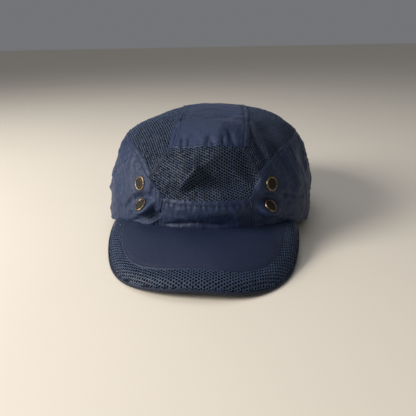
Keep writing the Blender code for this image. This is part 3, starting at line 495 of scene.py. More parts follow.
# how the two ends are placed, then rows of start, end, half width and height (a groove is negative)
creaseBlocks = (
    (wallSpot, wallSpot, (
        (-0.026, 0.0715, -0.005, 0.0690, 0.0018, 0.0026),
        (-0.005, 0.0695, -0.006, 0.0660, 0.0022, 0.0030),
        (-0.005, 0.0680, -0.020, 0.0535, 0.0018, 0.0034),
        (-0.003, 0.0700, 0.010, 0.0755, 0.0024, 0.0022),
        (-0.001, 0.0640, -0.014, 0.0525, 0.0022, -0.0022),
        (-0.030, 0.0655, -0.013, 0.0620, 0.0020, -0.0016),
        (-0.034, 0.0620, -0.018, 0.0570, 0.0022, 0.0014),
        (-0.034, 0.0560, -0.012, 0.0490, 0.0022, 0.0014),
        (0.008, 0.0530, 0.034, 0.0500, 0.0028, 0.0016),
        (0.020, 0.0700, 0.036, 0.0560, 0.0024, 0.0016),
        (0.026, 0.0740, 0.040, 0.0600, 0.0024, -0.0014),
    )),
    (roofSpot, roofSpot, (
        (-0.024, -0.052, 0.026, -0.036, 0.0036, 0.0028),
        (-0.020, -0.042, 0.014, -0.030, 0.0032, -0.0034),
        (-0.010, -0.030, 0.022, -0.026, 0.0030, -0.0016),
    )),
    (wallSpot, wallSpot, (
        (-0.031, 0.0800, -0.026, 0.0900, 0.0020, -0.0016),
    )),
    (wallSpot, roofSpot, (
        (-0.026, 0.0900, -0.021, -0.030, 0.0020, -0.0014),
    )),
    (wallSpot, wallSpot, (
        (-0.030, 0.0262, -0.006, 0.0292, 0.0013, -0.0032),
        (-0.006, 0.0292, 0.016, 0.0268, 0.0013, -0.0028),
        (-0.034, 0.0240, 0.024, 0.0250, 0.0018, 0.0009),
        (-0.026, 0.0330, -0.010, 0.0322, 0.0020, 0.0011),
        (-0.041, 0.0400, -0.038, 0.0270, 0.0013, -0.0020),
        (-0.046, 0.0262, -0.033, 0.0370, 0.0014, -0.0024),
        (-0.044, 0.0240, -0.036, 0.0300, 0.0013, 0.0018),
        (-0.060, 0.0225, -0.047, 0.0290, 0.0014, -0.0022),
        (-0.056, 0.0200, -0.044, 0.0250, 0.0013, 0.0016),
        (-0.068, 0.0300, -0.060, 0.0430, 0.0016, -0.0024),
        (-0.066, 0.0460, -0.056, 0.0520, 0.0016, 0.0009),
        (-0.074, 0.0300, -0.070, 0.0560, 0.0022, -0.0020),
        (-0.080, 0.0250, -0.078, 0.0550, 0.0024, 0.0012),
        (0.046, 0.0780, 0.058, 0.0600, 0.0018, 0.0024),
        (0.054, 0.0800, 0.066, 0.0600, 0.0024, -0.0026),
        (0.062, 0.0760, 0.075, 0.0520, 0.0020, 0.0022),
        (0.036, 0.0860, 0.046, 0.0720, 0.0022, -0.0024),
    )),
    (roofSpot, wallSpot, (
        (0.034, -0.036, 0.036, 0.0860, 0.0022, -0.0022),
    )),
    (wallSpot, wallSpot, (
        (0.062, 0.0460, 0.080, 0.0360, 0.0018, -0.0022),
        (0.060, 0.0260, 0.076, 0.0220, 0.0016, 0.0018),
        (0.044, 0.0420, 0.060, 0.0300, 0.0015, -0.0010),
        (0.022, 0.0420, 0.028, 0.0240, 0.0020, 0.0012),
        (0.080, 0.0600, 0.088, 0.0200, 0.0030, 0.0018),
    )),
    (degreeSpot, degreeSpot, (
        (-8, 0.0640, -2, 0.0080, 0.0030, -0.0022),
        (4, 0.0380, 6, 0.0010, 0.0050, 0.0034),
        (-172, 0.0700, -178, 0.0150, 0.0030, -0.0018),
    )),
)
creases = [
    (first(a, b), last(c, d), width, height)
    for first, last, rows in creaseBlocks
    for a, b, c, d, width, height in rows
]


smallCreases = {"sides": 64, "puckers": 10, "bandFolds": 14, "seamTucks": 26}


def addRandomCreases():
    # short soft creases round the sides and over the back
    dice = np.random.default_rng(slump["seed"])
    for k in range(smallCreases["sides"]):
        turn = math.radians(dice.uniform(-30, 215))
        z = dice.uniform(0.012, 0.070)
        long, slope = dice.uniform(0.012, 0.034), dice.uniform(-0.9, 0.9)
        start = turnSpot(turn, z)
        end = turnSpot(turn + long * math.cos(slope) / 0.1, min(0.088, max(0.004, z + long * math.sin(slope))))
        height = dice.uniform(0.0007, 0.0020) * (1 if dice.random() < 0.45 else -1)
        creases.append((start, end, dice.uniform(0.0018, 0.0036), height))
    for k in range(smallCreases["puckers"]):       # puckers along the strip's front seam
        x = -0.023 + 0.0050 * k + dice.uniform(-0.002, 0.002)
        top = dice.uniform(0.0840, 0.0905)
        end = wallSpot(x + dice.uniform(-0.004, 0.004), top)
        creases.append((wallSpot(x, 0.0812), end, dice.uniform(0.0010, 0.0017), dice.uniform(-0.0022, -0.0006)))
    for k in range(smallCreases["bandFolds"]):       # and along the top of the band
        x = -0.032 + 0.005 * k + dice.uniform(-0.001, 0.001)
        creases.append((wallSpot(x, 0.0455), wallSpot(x + dice.uniform(-0.002, 0.002), 0.0400), 0.0011, -0.0005))
    for k in range(smallCreases["seamTucks"]):       # and along the side seams
        turn = math.radians(-48 + 78 * (k % 13) / 12) if k < 13 else math.radians(228 - 78 * (k % 13) / 12)
        creases.append((turnSpot(turn, 0.078), turnSpot(turn + dice.uniform(-0.04, 0.04), 0.068), 0.0013, -0.0007))


addRandomCreases()


def creaseLift(points):
    lift = np.zeros(len(points))
    for start, end, width, height in creases:
        along = end - start
        length = np.linalg.norm(along)
        share = np.clip((points - start) @ along / length**2, 0, 1)
        away = np.linalg.norm(points - start - share[:, None] * along, axis=1)
        near = away < 4 * width
        fade = np.sin(np.pi * (0.12 + 0.76 * share[near]))
        lift[near] += height * fade * np.exp(-((away[near] / width) ** 1.6))
    for spot, across, up, depth in dents:
        apart = points - spot
        level = np.linalg.norm(apart[:, :2], axis=1) / across
        lift -= depth * np.exp(-(level**2) - (apart[:, 2] / up) ** 2)
    return lift


def crinkleLift(points):
    # billows, and sharp little creases that run aslant
    lift = []
    for x, y, z in points:
        wide = noise.noise(Vector(((x + 0.7 * z) * 70, (y - 0.5 * z) * 70, (z - 0.4 * x) * 44)))
        fine = noise.noise(Vector(((x - 0.6 * z) * 175 + wide, y * 175, (z + 0.5 * x) * 105 + 9)))
        slow = noise.noise(Vector((x * 30, y * 30, z * 24 + 5)))
        patchy = 0.55 + 0.9 * max(0.0, 0.5 + noise.noise(Vector((x * 24 + 3, y * 24, z * 24))))
        sharp = (0.40 - abs(wide)) * slump["crinkle"] * 1.6 + (0.3 - abs(fine)) * slump["fineCrinkle"] * 2
        lift.append(sharp * patchy + slow * slump["billow"])
    return np.array(lift)


def keelLift(points):
    # a rounded tent across the front, none at the hem and none over the top
    across = np.sqrt(((points[:, 0] - slump["keelAt"]) / slump["keelReach"]) ** 2 + 0.0036)
    forward = smoothStep((-points[:, 1] - 0.030) / 0.035)
    rising = smoothStep((points[:, 2] - 0.0235) / 0.018)
    return slump["keel"] * np.maximum(0, 1 - across) ** 1.3 * forward * rising


def sway(z):
    return slump["sway"] * smoothStep(np.asarray(z) / 0.032)


def eyeletSpots():
    # where each eyelet is set, and the way it looks
    spots = {}
    for side in ("left", "right"):
        for level in ("upper", "lower"):
            low, high = (np.array(c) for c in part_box(side + "_" + level + "_eyelet"))
            middle = (low + high) / 2 - (0, crownMiddle, 0)
            middle = domeProject(middle)
            out = domeNormal(middle)
            turn = math.radians(slump[level + "Turn"]) * (1 if side == "right" else -1)
            c, s = math.cos(turn), math.sin(turn)
            out = np.array((c * out[0] - s * out[1], s * out[0] + c * out[1], out[2]))
            if level == "lower":
                tilt = math.radians(slump["lowerTilt"])
                out = out * math.cos(tilt) + np.array((0.0, 0.0, 1.0)) * math.sin(tilt)
                out /= np.linalg.norm(out)
                middle = middle + out * slump["lowerOut"]
            spots[side + "_" + level] = (middle, out)
    return spots


eyelets = eyeletSpots()


def settle(flat, height, crinkled):
    # from the tailored surface to the cloth as it lies; height may be one number or one each
    shape = flat.shape
    points = np.asarray(flat, float).reshape(-1, 3)
    forward = smoothStep((0.060 - points[:, 1]) / 0.080)
    raised = slump["lean"] * smoothStep((points[:, 2] - 0.026) / 0.022)
    raised += slump["leanAbove"] * smoothStep((points[:, 2] - 0.070) / 0.035)
    for spot, out in eyelets.values():
        raised = raised * smoothStep((np.linalg.norm(points - spot, axis=1) - 0.007) / 0.013)
    points = points + np.outer(forward * raised, (1.0, 0.0, 0.0))
    points = domeProject(points)
    normal = domeNormal(points)
    lift = creaseLift(points) + keelLift(points) + crinkleLift(points) * crinkled
    lowest = -0.0012 - 0.0082 * smoothStep((points[:, 2] - 0.033) / 0.016)      # clear of the sweatband
    lift = np.maximum(lift, lowest)
    lift = lift * smoothStep(points[:, 2] / 0.006 + 0.3)
    for spot, out in eyelets.values():
        plane = np.clip(-((points - spot) @ out) / np.maximum(0.5, normal @ out), -0.014, 0.014)
        away = np.linalg.norm(points + normal * plane[:, None] - spot, axis=1)      # within the eyelet's own plane
        held = 1 - smoothStep((away - 0.0070) / 0.0090)
        lift = lift * (1 - held) + plane * held
    lift = lift + np.broadcast_to(np.asarray(height, float), shape[:-1]).reshape(-1)
    done = points + normal * lift[:, None]
    done[:, 2] = np.maximum(done[:, 2], 0.0002)
    done[:, 0] += sway(points[:, 2])
    done[:, 1] += crownMiddle
    return done.reshape(shape)


# sheets of cloth from patches of the crown

def distances(line):
    # how far along the line each of its points is
    return np.concatenate([[0], np.cumsum(np.linalg.norm(np.diff(line, axis=0), axis=1))])


def along(points, count):
    # points at even steps along a line laid on the crown
    points = np.array(points, float)
    fine = []
    for a, b in zip(points, points[1:]):
        fine.append(a + (b - a) * np.linspace(0, 1, 24, endpoint=False)[:, None])
    fine = domeProject(np.concatenate(fine + [points[-1:]]))
    steps = distances(fine)
    wanted = np.linspace(0, 1, count) * steps[-1]
    return np.stack([np.interp(wanted, steps, fine[:, k]) for k in range(3)], 1)


def patch(bottom, top, start, end):
    # the grid between four edges that meet at the corners
    u = np.linspace(0, 1, len(bottom))[:, None, None]
    v = np.linspace(0, 1, len(start))[None, :, None]
    ruled = (1 - v) * bottom[:, None] + v * top[:, None]
    crossed = (1 - u) * start[None, :] + u * end[None, :]
    corners = (1 - v) * ((1 - u) * bottom[0] + u * bottom[-1]) + v * ((1 - u) * top[0] + u * top[-1])
    return domeProject(ruled + crossed - corners)


def edgeMarks(length, step, marks=(0.0004, 0.0010, 0.0017, 0.0024, 0.0034)):
    # shares along an edge, close together near both ends
    count = max(2, int((length - 2 * marks[-1]) / step))
    inner = np.linspace(marks[-1], length - marks[-1], count)
    near = np.array((0.0, *marks[:-1]))
    return np.concatenate([near, inner, length - near[::-1]]) / length


def resample(grid, us, vs):
    # the grid's points at these shares each way
    rows, columns = grid.shape[:2]
    i = np.clip(us * (rows - 1), 0, rows - 1.0001)
    j = np.clip(vs * (columns - 1), 0, columns - 1.0001)
    a, b = i.astype(int), j.astype(int)
    s, t = (i - a)[:, None, None], (j - b)[None, :, None]
    p, q = grid[a][:, b], grid[a + 1][:, b]
    r, o = grid[a][:, b + 1], grid[a + 1][:, b + 1]
    return p * (1 - s) * (1 - t) + q * s * (1 - t) + r * (1 - s) * t + o * s * t


def gridLengths(grid):
    return (
        float(np.linalg.norm(np.diff(grid, axis=0), axis=2).sum(0).mean()),
        float(np.linalg.norm(np.diff(grid, axis=1), axis=2).sum(1).mean()),
    )


def editAll():
    bpy.ops.object.mode_set(mode="EDIT")
    bpy.ops.mesh.select_all(action="SELECT")


def choose(piece):
    bpy.ops.object.select_all(action="DESELECT")
    piece.select_set(True)
    bpy.context.view_layer.objects.active = piece


def addModifier(piece, kind, **values):
    choose(piece)
    bpy.ops.object.modifier_add(type=kind)
    made = piece.modifiers[-1]
    for key, value in values.items():
        setattr(made, key, value)
    bpy.ops.object.modifier_apply(modifier=made.name)


def enter(made, body, nodes=()):
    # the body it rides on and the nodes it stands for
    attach(made, body)
    if nodes:
        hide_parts(*nodes)


def dressUp(piece, material, smoothAngle=50):
    piece.data.materials.clear()
    piece.data.materials.append(material)
    choose(piece)
    bpy.ops.object.shade_smooth_by_angle(angle=math.radians(smoothAngle))


def meshPiece(name, points, faces, flats=None):
    mesh = bpy.data.meshes.new(name)
    mesh.from_pydata([tuple(p) for p in points], [], faces)
    if flats is not None:
        layer = mesh.uv_layers.new(name="flat")
        corners = np.zeros(len(mesh.loops), int)
        mesh.loops.foreach_get("vertex_index", corners)
        layer.data.foreach_set("uv", np.asarray(flats, float)[corners].ravel())
    made = bpy.data.objects.new(name, mesh)
    bpy.context.scene.collection.objects.link(made)
    return made


def meshPoints(piece):
    return np.array([tuple(v.co) for v in piece.data.vertices])


def gridFaces(rows, columns):
    faces = []
    for i in range(rows - 1):
        for j in range(columns - 1):
            a = i * columns + j
            faces.append((a, a + columns, a + columns + 1, a + 1))
    return faces


def thicken(piece, thickness):
    addModifier(piece, "SOLIDIFY", thickness=thickness, offset=-1.0, use_even_offset=False)


def faceOut(piece, hub):
    # turns the faces so that most of them look away from the hub
    work = bmesh.new()
    work.from_mesh(piece.data)
    out = sum((f.calc_center_median() - Vector(hub)).dot(f.normal) * f.calc_area() for f in work.faces)
    if out < 0:
        bmesh.ops.reverse_faces(work, faces=work.faces)
    work.to_mesh(piece.data)
    work.free()


def gridPiece(name, points, long, wide):
    # a sheet over a grid, with the distances each way as its flat map
    flats = np.stack(np.meshgrid(long, wide, indexing="ij"), -1)
    made = meshPiece(name, points.reshape(-1, 3), gridFaces(*points.shape[:2]), flats.reshape(-1, 2))
    faceOut(made, (0, crownMiddle, 0))
    return made


def flatArea(grid):
    a, b, c, d = grid[:-1, :-1], grid[1:, :-1], grid[1:, 1:], grid[:-1, 1:]
    half = np.linalg.norm(np.cross(b - a, c - a), axis=2) + np.linalg.norm(np.cross(c - a, d - a), axis=2)
    return float(half.sum() / 2)


seamRows = []        # lines of stitches to sew later: points, normals


panel = {"height": 0.0004, "thickness": 0.0009, "stitchInset": 0.0022, "step": 0.0011}


def clothPanel(name, grid, nodes, step=panel["step"], crinkled=1.0):
    # a cut piece of cloth with rolled edges and a sewn-down groove a little inside them
    long, wide = gridLengths(grid)
    us, vs = edgeMarks(long, step), edgeMarks(wide, step)
    points = resample(grid, us, vs)
    nearU = np.minimum(us, 1 - us)[:, None] * long
    nearV = np.minimum(vs, 1 - vs)[None, :] * wide
    near = np.minimum(nearU, nearV)
    rolled = -0.00045 * np.exp(-((near / 0.0005) ** 2)) - 0.00028 * np.exp(-(((near - 0.0022) / 0.0006) ** 2))
    rolled = rolled + 0.00018 * np.exp(-(((near - 0.0012) / 0.0006) ** 2))
    done = settle(points, panel["height"] + rolled, crinkled)
    made = gridPiece(name, done, us * long, vs * wide)
    thicken(made, panel["thickness"])
    dressUp(made, finish["nylon"])
    enter(made, "cap", nodes)
    inset, fewMarks, manyMarks = panel["stitchInset"], np.linspace(0.01, 0.99, 160), np.linspace(0.01, 0.99, 260)
    for share in (inset / long, 1 - inset / long):
        seamRows.append((resample(grid, np.array([share]), fewMarks)[0], panel["height"] - 0.0001))
    for share in (inset / wide, 1 - inset / wide):
        seamRows.append((resample(grid, manyMarks, np.array([share]))[:, 0], panel["height"] - 0.0001))


# netting: threads round six-sided holes

netting = {
    "pitch": 0.0021,
    "peakPitch": 0.0022,
    "hole": (0.80, 0.58),       # share of a cell, along its row and across
    "peakHole": (0.72, 0.54),
    "thread": 0.00035,
    "round": 0.00026,
    "uneven": 0.00010,
    "sink": 0.0001,
    "overlap": 0.0012,          # how far it runs under the seams
}


def honeycomb(low, high, pitch, turn):
    # centres of the holes over a flat area, their rows turned
    middle, reach = (low + high) / 2, np.linalg.norm(high - low) / 2 + pitch
    rowStep = pitch * math.sqrt(3) / 2
    counts = int(reach / pitch) + 2, int(reach / rowStep) + 2
    i, j = np.meshgrid(np.arange(-counts[0], counts[0] + 1), np.arange(-counts[1], counts[1] + 1))
    x, y = (i + 0.5 * (j % 2)) * pitch, j * rowStep
    c, s = math.cos(turn), math.sin(turn)
    return np.stack([middle[0] + c * x - s * y, middle[1] + s * x + c * y], -1).reshape(-1, 2)


def insideLine(points, line):
    inside = np.zeros(len(points), bool)
    for (x1, y1), (x2, y2) in zip(line, np.roll(line, -1, axis=0)):
        crosses = (y1 > points[:, 1]) != (y2 > points[:, 1])
        with np.errstate(divide="ignore", invalid="ignore"):
            where = (x2 - x1) * (points[:, 1] - y1) / (y2 - y1) + x1
        inside ^= crosses & (points[:, 0] < where)
    return inside


def netMesh(name, outline, lay, turn, pitch=netting["pitch"], hole=netting["hole"]):
    # outline is the flat edge, lay puts flat points and a height onto the surface
    outline = np.asarray(outline)
    middles = honeycomb(outline.min(0), outline.max(0), pitch, turn)
    middles = middles[insideLine(middles, outline)]
    turns = turn + math.pi / 6 + np.arange(6) * math.pi / 3
    spokes = np.stack([np.cos(turns), np.sin(turns)], 1) * pitch / math.sqrt(3)
    outer = middles[:, None] + spokes[None]
    keys = np.round(outer.reshape(-1, 2) / (pitch * 0.05)).astype(int)
    unique, first, back = np.unique(keys, axis=0, return_index=True, return_inverse=True)
    shared = outer.reshape(-1, 2)[first]
    row = np.array((math.cos(turn), math.sin(turn)))      # the holes are longer along their rows
    along = (spokes @ row)[:, None] * row
    inner = (middles[:, None] + (along * hole[0] + (spokes - along) * hole[1])[None]).reshape(-1, 2)
    flat = np.concatenate([shared, inner])
    heights = np.concatenate([np.full(len(shared), netting["round"]), np.zeros(len(inner))])
    dice = np.random.default_rng(len(middles))
    heights = heights + dice.normal(0, netting["uneven"], len(heights)) * (heights > 0)
    flat = flat + dice.normal(0, pitch * 0.035, flat.shape)
    back = back.reshape(-1, 6)
    faces = []
    for k in range(len(middles)):
        base = len(shared) + 6 * k
        for c in range(6):
            d = (c + 1) % 6
            faces.append((int(back[k, c]), int(back[k, d]), base + d, base + c))
    return meshPiece(name, lay(flat, heights), faces, flat)


def finishNet(made, nodes, hub=(0, crownMiddle, 0)):
    faceOut(made, hub)
    thicken(made, netting["thread"])
    dressUp(made, finish["netThread"], 80)
    enter(made, "cap", nodes)


# the crown's pieces

seams = {
    "stripHalf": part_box("top_strip")[1][0] + 0.0001,
    "stripFront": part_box("top_strip")[0][1],
    "frontHeight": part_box("front_mesh_panel")[1][2] + 0.0003,
    "sideCorner": (0.044, 0.0615),
    "bandCorner": (0.033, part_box("front_band")[1][2] + 0.0003),
    "bandFoot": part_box("front_band")[1][0] + 0.0003,
    "sideHeight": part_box("right_side_panel")[1][2] - 0.0009,
    "sideRear": 0.064,
    "netTail": 0.012,
    "archHalf": 0.043,
    "archHeight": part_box("rear_opening_binding")[1][2] + 0.0004,
}


def archHeight(x):
    return seams["archHeight"] * np.sqrt(np.maximum(0, 1 - (np.asarray(x) / seams["archHalf"]) ** 2))


def mirror(points, side):
    return np.array(points) * (side, 1, 1)


sideTurns = [math.radians(a) for a in (-28, 0, 30)]
stripCorner = wallSpot(seams["stripHalf"], seams["frontHeight"])
sideCorner = wallSpot(*seams["sideCorner"])
bandTop = wallSpot(*seams["bandCorner"])
bandFoot = hemSpot(hemTurn(seams["bandFoot"], -1))
seamRise = turnSpot(math.radians(-48), (seams["sideCorner"][1] + 3 * seams["sideHeight"]) / 4)
seamMiddle = [turnSpot(a, seams["sideHeight"]) for a in sideTurns]
seamRear = wallSpot(seams["stripHalf"], seams["sideRear"], True)
netRear = wallSpot(seams["stripHalf"], seams["sideRear"] + seams["netTail"], True)


def roofLine(x, count, lowFront, lowRear):
    # over the crown at this x, from a height in front to a height behind
    front, rear = wallSpot(x, lowFront), wallSpot(x, lowRear, True)
    turns = np.linspace(0, math.pi, 26)[1:-1]
    over = roofSpot(x, front[1] + (rear[1] - front[1]) * (1 - np.cos(turns)) / 2)
    return along(np.concatenate([front[None], over, rear[None]]), count)


def crownPatches():
    made = {}
    columns = np.linspace(-seams["stripHalf"], seams["stripHalf"], 30)
    made["strip"] = np.stack([roofLine(x, 160, seams["frontHeight"], archHeight(x)) for x in columns])
    left, right = (mirror([stripCorner, sideCorner, bandTop], side) for side in (-1, 1))
    top = wallSpot(columns, seams["frontHeight"])
    low = wallSpot(np.linspace(-seams["bandCorner"][0], seams["bandCorner"][0], 30), seams["bandCorner"][1])
    made["front"] = patch(top, low, along(left, 30), along(right, 30))
    turns = np.linspace(hemTurn(-seams["bandFoot"], -1), hemTurn(seams["bandFoot"], -1), 30)
    hem = hemSpot(turns)
    made["band"] = patch(low, hem, along([left[2], hem[0]], 16), along([right[2], hem[-1]], 16))
    arch = wallSpot(np.linspace(seams["stripHalf"], seams["archHalf"], 14), 0, True)
    arch = wallSpot(arch[:, 0], archHeight(arch[:, 0]), True)
    turns = np.linspace(hemTurn(seams["bandFoot"], -1), hemTurn(seams["archHalf"], 1), 90)
    for name, side in (("left", -1), ("right", 1)):
        seam = mirror([sideCorner, seamRise, *seamMiddle, seamRear], side)
        made[name + "Net"] = patch(
            roofLine(side * seams["stripHalf"], 140, seams["frontHeight"], netRear[2]),
            along(seam, 140),
            along(mirror([stripCorner, sideCorner], side), 40),
            along(mirror([netRear, seamRear], side), 40),
        )
        upper = mirror([bandTop, sideCorner, seamRise, *seamMiddle, seamRear], side)
        made[name + "Side"] = patch(
            along(upper, 150),
            along(mirror(hemSpot(turns), side), 150),
            along(mirror([bandTop, bandFoot], side), 60),
            along(mirror([seamRear, *arch], side), 60),
        )
    return made


meridians = 180


def roofChart():
    # flat coordinates over the top: distance from the top along each meridian
    turns = np.linspace(-math.pi, math.pi, meridians + 1)
    heights = crown["height"] * np.sin(np.linspace(math.pi / 2, 0, 240)) ** 0.5
    lines = turnSpot(turns[:, None], heights[None, :])
    steps = np.linalg.norm(np.diff(lines, axis=1), axis=2)
    return turns, lines, np.concatenate([np.zeros((len(turns), 1)), np.cumsum(steps, axis=1)], 1)


chartTurns, chartLines, chartSteps = roofChart()


def toFlat(points):
    points = np.asarray(points)
    turns = np.arctan2(points[:, 1], points[:, 0])
    out = []
    for p, turn in zip(points, turns):
        k = int(round((turn + math.pi) / (2 * math.pi) * meridians))
        far = np.interp(-p[2], -chartLines[k, :, 2], chartSteps[k])
        out.append((far * math.cos(turn), far * math.sin(turn)))
    return np.array(out)


def fromFlat(flat):
    turns = np.arctan2(flat[:, 1], flat[:, 0])
    far = np.linalg.norm(flat, axis=1)
    k = (turns + math.pi) / (2 * math.pi) * meridians
    low = np.clip(k.astype(int), 0, meridians - 1)
    share = (k - low)[:, None]
    spots = []
    for a in (low, low + 1):
        z = np.array([np.interp(f, chartSteps[i], chartLines[i, :, 2]) for f, i in zip(far, a)])
        spots.append(turnSpot(turns, z))
    return domeProject(spots[0] * (1 - share) + spots[1] * share)


def border(grid, grow):
    # the loop round a patch, moved outwards a little
    loop = np.concatenate([grid[:, 0], grid[-1, 1:], grid[-2::-1, -1], grid[0, -2:0:-1]])
    middle = grid.mean((0, 1))
    away = loop - middle
    return loop + away / np.linalg.norm(away, axis=1, keepdims=True) * grow


def buildCrown():
    patches = crownPatches()
    clothPanel("topStrip", patches["strip"], ["top_strip"], crinkled=0.45)
    clothPanel("frontBand", patches["band"], ["front_band"], step=0.0008, crinkled=0.6)
    for name in ("left", "right"):
        clothPanel(name + "SidePanel", patches[name + "Side"], [name + "_side_panel"], step=0.0012)
    print("crown cloth laid")
    for name, turn in (("left", 1.9), ("right", 1.25)):
        grid = patches[name + "Net"]
        flatLoop = toFlat(domeProject(border(grid, netting["overlap"])))

        def lay(flat, heights):
            return settle(fromFlat(flat), heights - netting["sink"], 0.5)

        net = netMesh(name + "Netting", flatLoop, lay, turn)
        finishNet(net, [name + "_mesh_panel"])
        backing(name + "Lining", grid)
    grid = patches["front"]
    drop = wallSpot(0.0, np.linspace(seams["bandCorner"][1] - 0.004, seams["frontHeight"] + 0.004, 60))
    steps = distances(drop)
    loop = domeProject(border(grid, netting["overlap"]))
    flatLoop = np.stack([loop[:, 0], np.interp(loop[:, 2], drop[:, 2], steps)], 1)

    def layFront(flat, heights):
        return settle(wallSpot(flat[:, 0], np.interp(flat[:, 1], steps, drop[:, 2])), heights - netting["sink"], 0.6)

    net = netMesh("frontNetting", flatLoop, layFront, -0.45)
    finishNet(net, ["front_mesh_panel"])
    backing("frontLining", grid)
    print("netting laid")
    return patches


lining = {"step": 0.003, "depth": 0.0016, "thickness": 0.0004, "crinkled": 0.5}


def backing(name, grid):
    # the dark cloth behind the holes
    long, wide = gridLengths(grid)
    us, vs = (np.linspace(0, 1, int(length / lining["step"]) + 2) for length in (long, wide))
    points = settle(resample(grid, us, vs), -lining["depth"], lining["crinkled"])
    made = gridPiece(name, points, us * long, vs * wide)
    thicken(made, lining["thickness"])
    dressUp(made, finish["lining"])
    enter(made, "cap")


patches = buildCrown()


# lapped seams, drawn over the netting

lappedSeams = {"width": 0.0044, "height": 0.0006, "step": 0.0016, "cut": 0.010,      # cut with edges to turn in
               "thickness": 0.0006, "stitchShare": 0.27, "crinkled": 0.6, "wander": 0.00035}


def pickOut(points, number):
    return np.asarray(points)[np.linspace(0, len(points) - 1, number).astype(int)]


def lappedSeam(name, line, shift, width=lappedSeams["width"], rows=(1,), height=lappedSeams["height"],
               material="nylon", nodes=()):
    # a turned-in edge of cloth along a seam, shifted to one side of it
    length = float(np.linalg.norm(np.diff(line, axis=0), axis=1).sum())
    middle = along(pickOut(line, 20), max(6, int(length / lappedSeams["step"])))
    ahead = np.gradient(middle, axis=0)
    ahead /= np.linalg.norm(ahead, axis=1, keepdims=True)
    aside = np.cross(domeNormal(middle), ahead)
    across = np.array((-1.0, -0.82, -0.55, -0.2, 0.2, 0.55, 0.82, 1.0)) * 0.5
    grid = domeProject(middle[:, None] + aside[:, None] * (across * width + shift)[None, :, None])
    raised = height - 0.0006 * np.abs(across * 2) ** 5 - 0.0002 * np.exp(-(((np.abs(across) - 0.3) / 0.1) ** 2))
    wander = np.array([noise.noise(Vector(p * 260)) for p in middle]) * lappedSeams["wander"]
    done = settle(grid, raised[None, :] + wander[:, None], lappedSeams["crinkled"])
    made = gridPiece(name, done, np.linspace(0, length, len(middle)), across * width)
    thicken(made, lappedSeams["thickness"])
    dressUp(made, finish[material], 80)
    enter(made, "cap", nodes)
    for k in rows:
        seamRows.append((domeProject(middle + aside * (shift + width * lappedSeams["stitchShare"] * k)), height))


def layLappedSeams():
    for name, side in (("left", -1), ("right", 1)):
        edge = patches[name + "Net"][:, 0]
        lappedSeam(name + "StripSeam", edge, -side * 0.0022, rows=(-side,))
        across = mirror([stripCorner, sideCorner], side)
        lappedSeam(name + "FrontSeam", along(across, 30), 0.0, 0.0038, rows=(0,), height=0.0004,
                   material="tape")
        lappedSeam(name + "NetSeam", patches[name + "Net"][:, -1], side * 0.0016, 0.0044, rows=(side,))
        lower = along(mirror([sideCorner, bandTop], side), 30)
        lappedSeam(name + "CornerSeam", lower, side * 0.0006, 0.0034, rows=(-side,))
        lappedSeam(name + "SeamTape", pickOut(edge, 40)[1:-1], 0.0, 0.0120, rows=(), height=-0.0024,
                   material="tape", nodes=[name + "_seam_tape"])
    lappedSeam("frontBandSeam", patches["band"][:, 0], -0.0004, 0.0034, rows=())
    print("lapped seams laid")


layLappedSeams()


# stitches

stitching = {"length": 0.0019, "thick": 0.00034, "every": 0.0027}


def stitchModel():
    # one stitch, modelled once: a low ball drawn out and flattened
    bpy.ops.object.select_all(action="DESELECT")
    bpy.ops.mesh.primitive_uv_sphere_add(segments=6, ring_count=4, radius=0.5, rotation=(0, math.pi / 2, 0))
    model = bpy.context.object
    bpy.ops.object.transform_apply(location=True, rotation=True, scale=True)
    editAll()
    bpy.ops.transform.resize(value=(stitching["length"], stitching["thick"] * 1.5, stitching["thick"]))
    bpy.ops.object.mode_set(mode="OBJECT")
    corners = meshPoints(model)
    faces = [tuple(p.vertices) for p in model.data.polygons]
    bpy.data.objects.remove(model)
    return corners, faces


stitch = stitchModel()


def sewRow(name, points, normals):
    # copies of the stitch along a line of points
    steps = distances(points)
    count = max(2, int(steps[-1] / stitching["every"]))
    marks = (np.arange(count) + 0.5) / count * steps[-1]

    def read(values, at):
        return np.stack([np.interp(at, steps, values[:, k]) for k in range(3)], 1)

    spots, ups = read(points, marks), read(normals, marks)
    ahead = read(points, np.minimum(marks + 0.0006, steps[-1])) - read(points, np.maximum(marks - 0.0006, 0))
    ahead /= np.linalg.norm(ahead, axis=1, keepdims=True)
    ups -= ahead * (ups * ahead).sum(1, keepdims=True)
    ups /= np.linalg.norm(ups, axis=1, keepdims=True)
    aside = np.cross(ups, ahead)
    corners, faces = stitch
    allPoints, allFaces = [], []
    for k in range(count):
        turned = corners[:, :1] * ahead[k] + corners[:, 1:2] * aside[k] + corners[:, 2:] * ups[k]
        allFaces += [tuple(v + k * len(corners) for v in f) for f in faces]
        allPoints.append(spots[k] + turned)
    made = meshPiece(name, np.concatenate(allPoints), allFaces)
    dressUp(made, finish["thread"], 80)
    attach(made, "cap")


def sewCrown():
    for k, (line, height) in enumerate(seamRows):
        line = np.asarray(line)
        points = settle(line, height + 0.00015, 0.6)
        normals = domeNormal(domeProject(line))
        sewRow("crownStitches" + str(k + 1), points, normals)
    print("crown sewn,", len(seamRows), "rows")


sewCrown()


# the peak

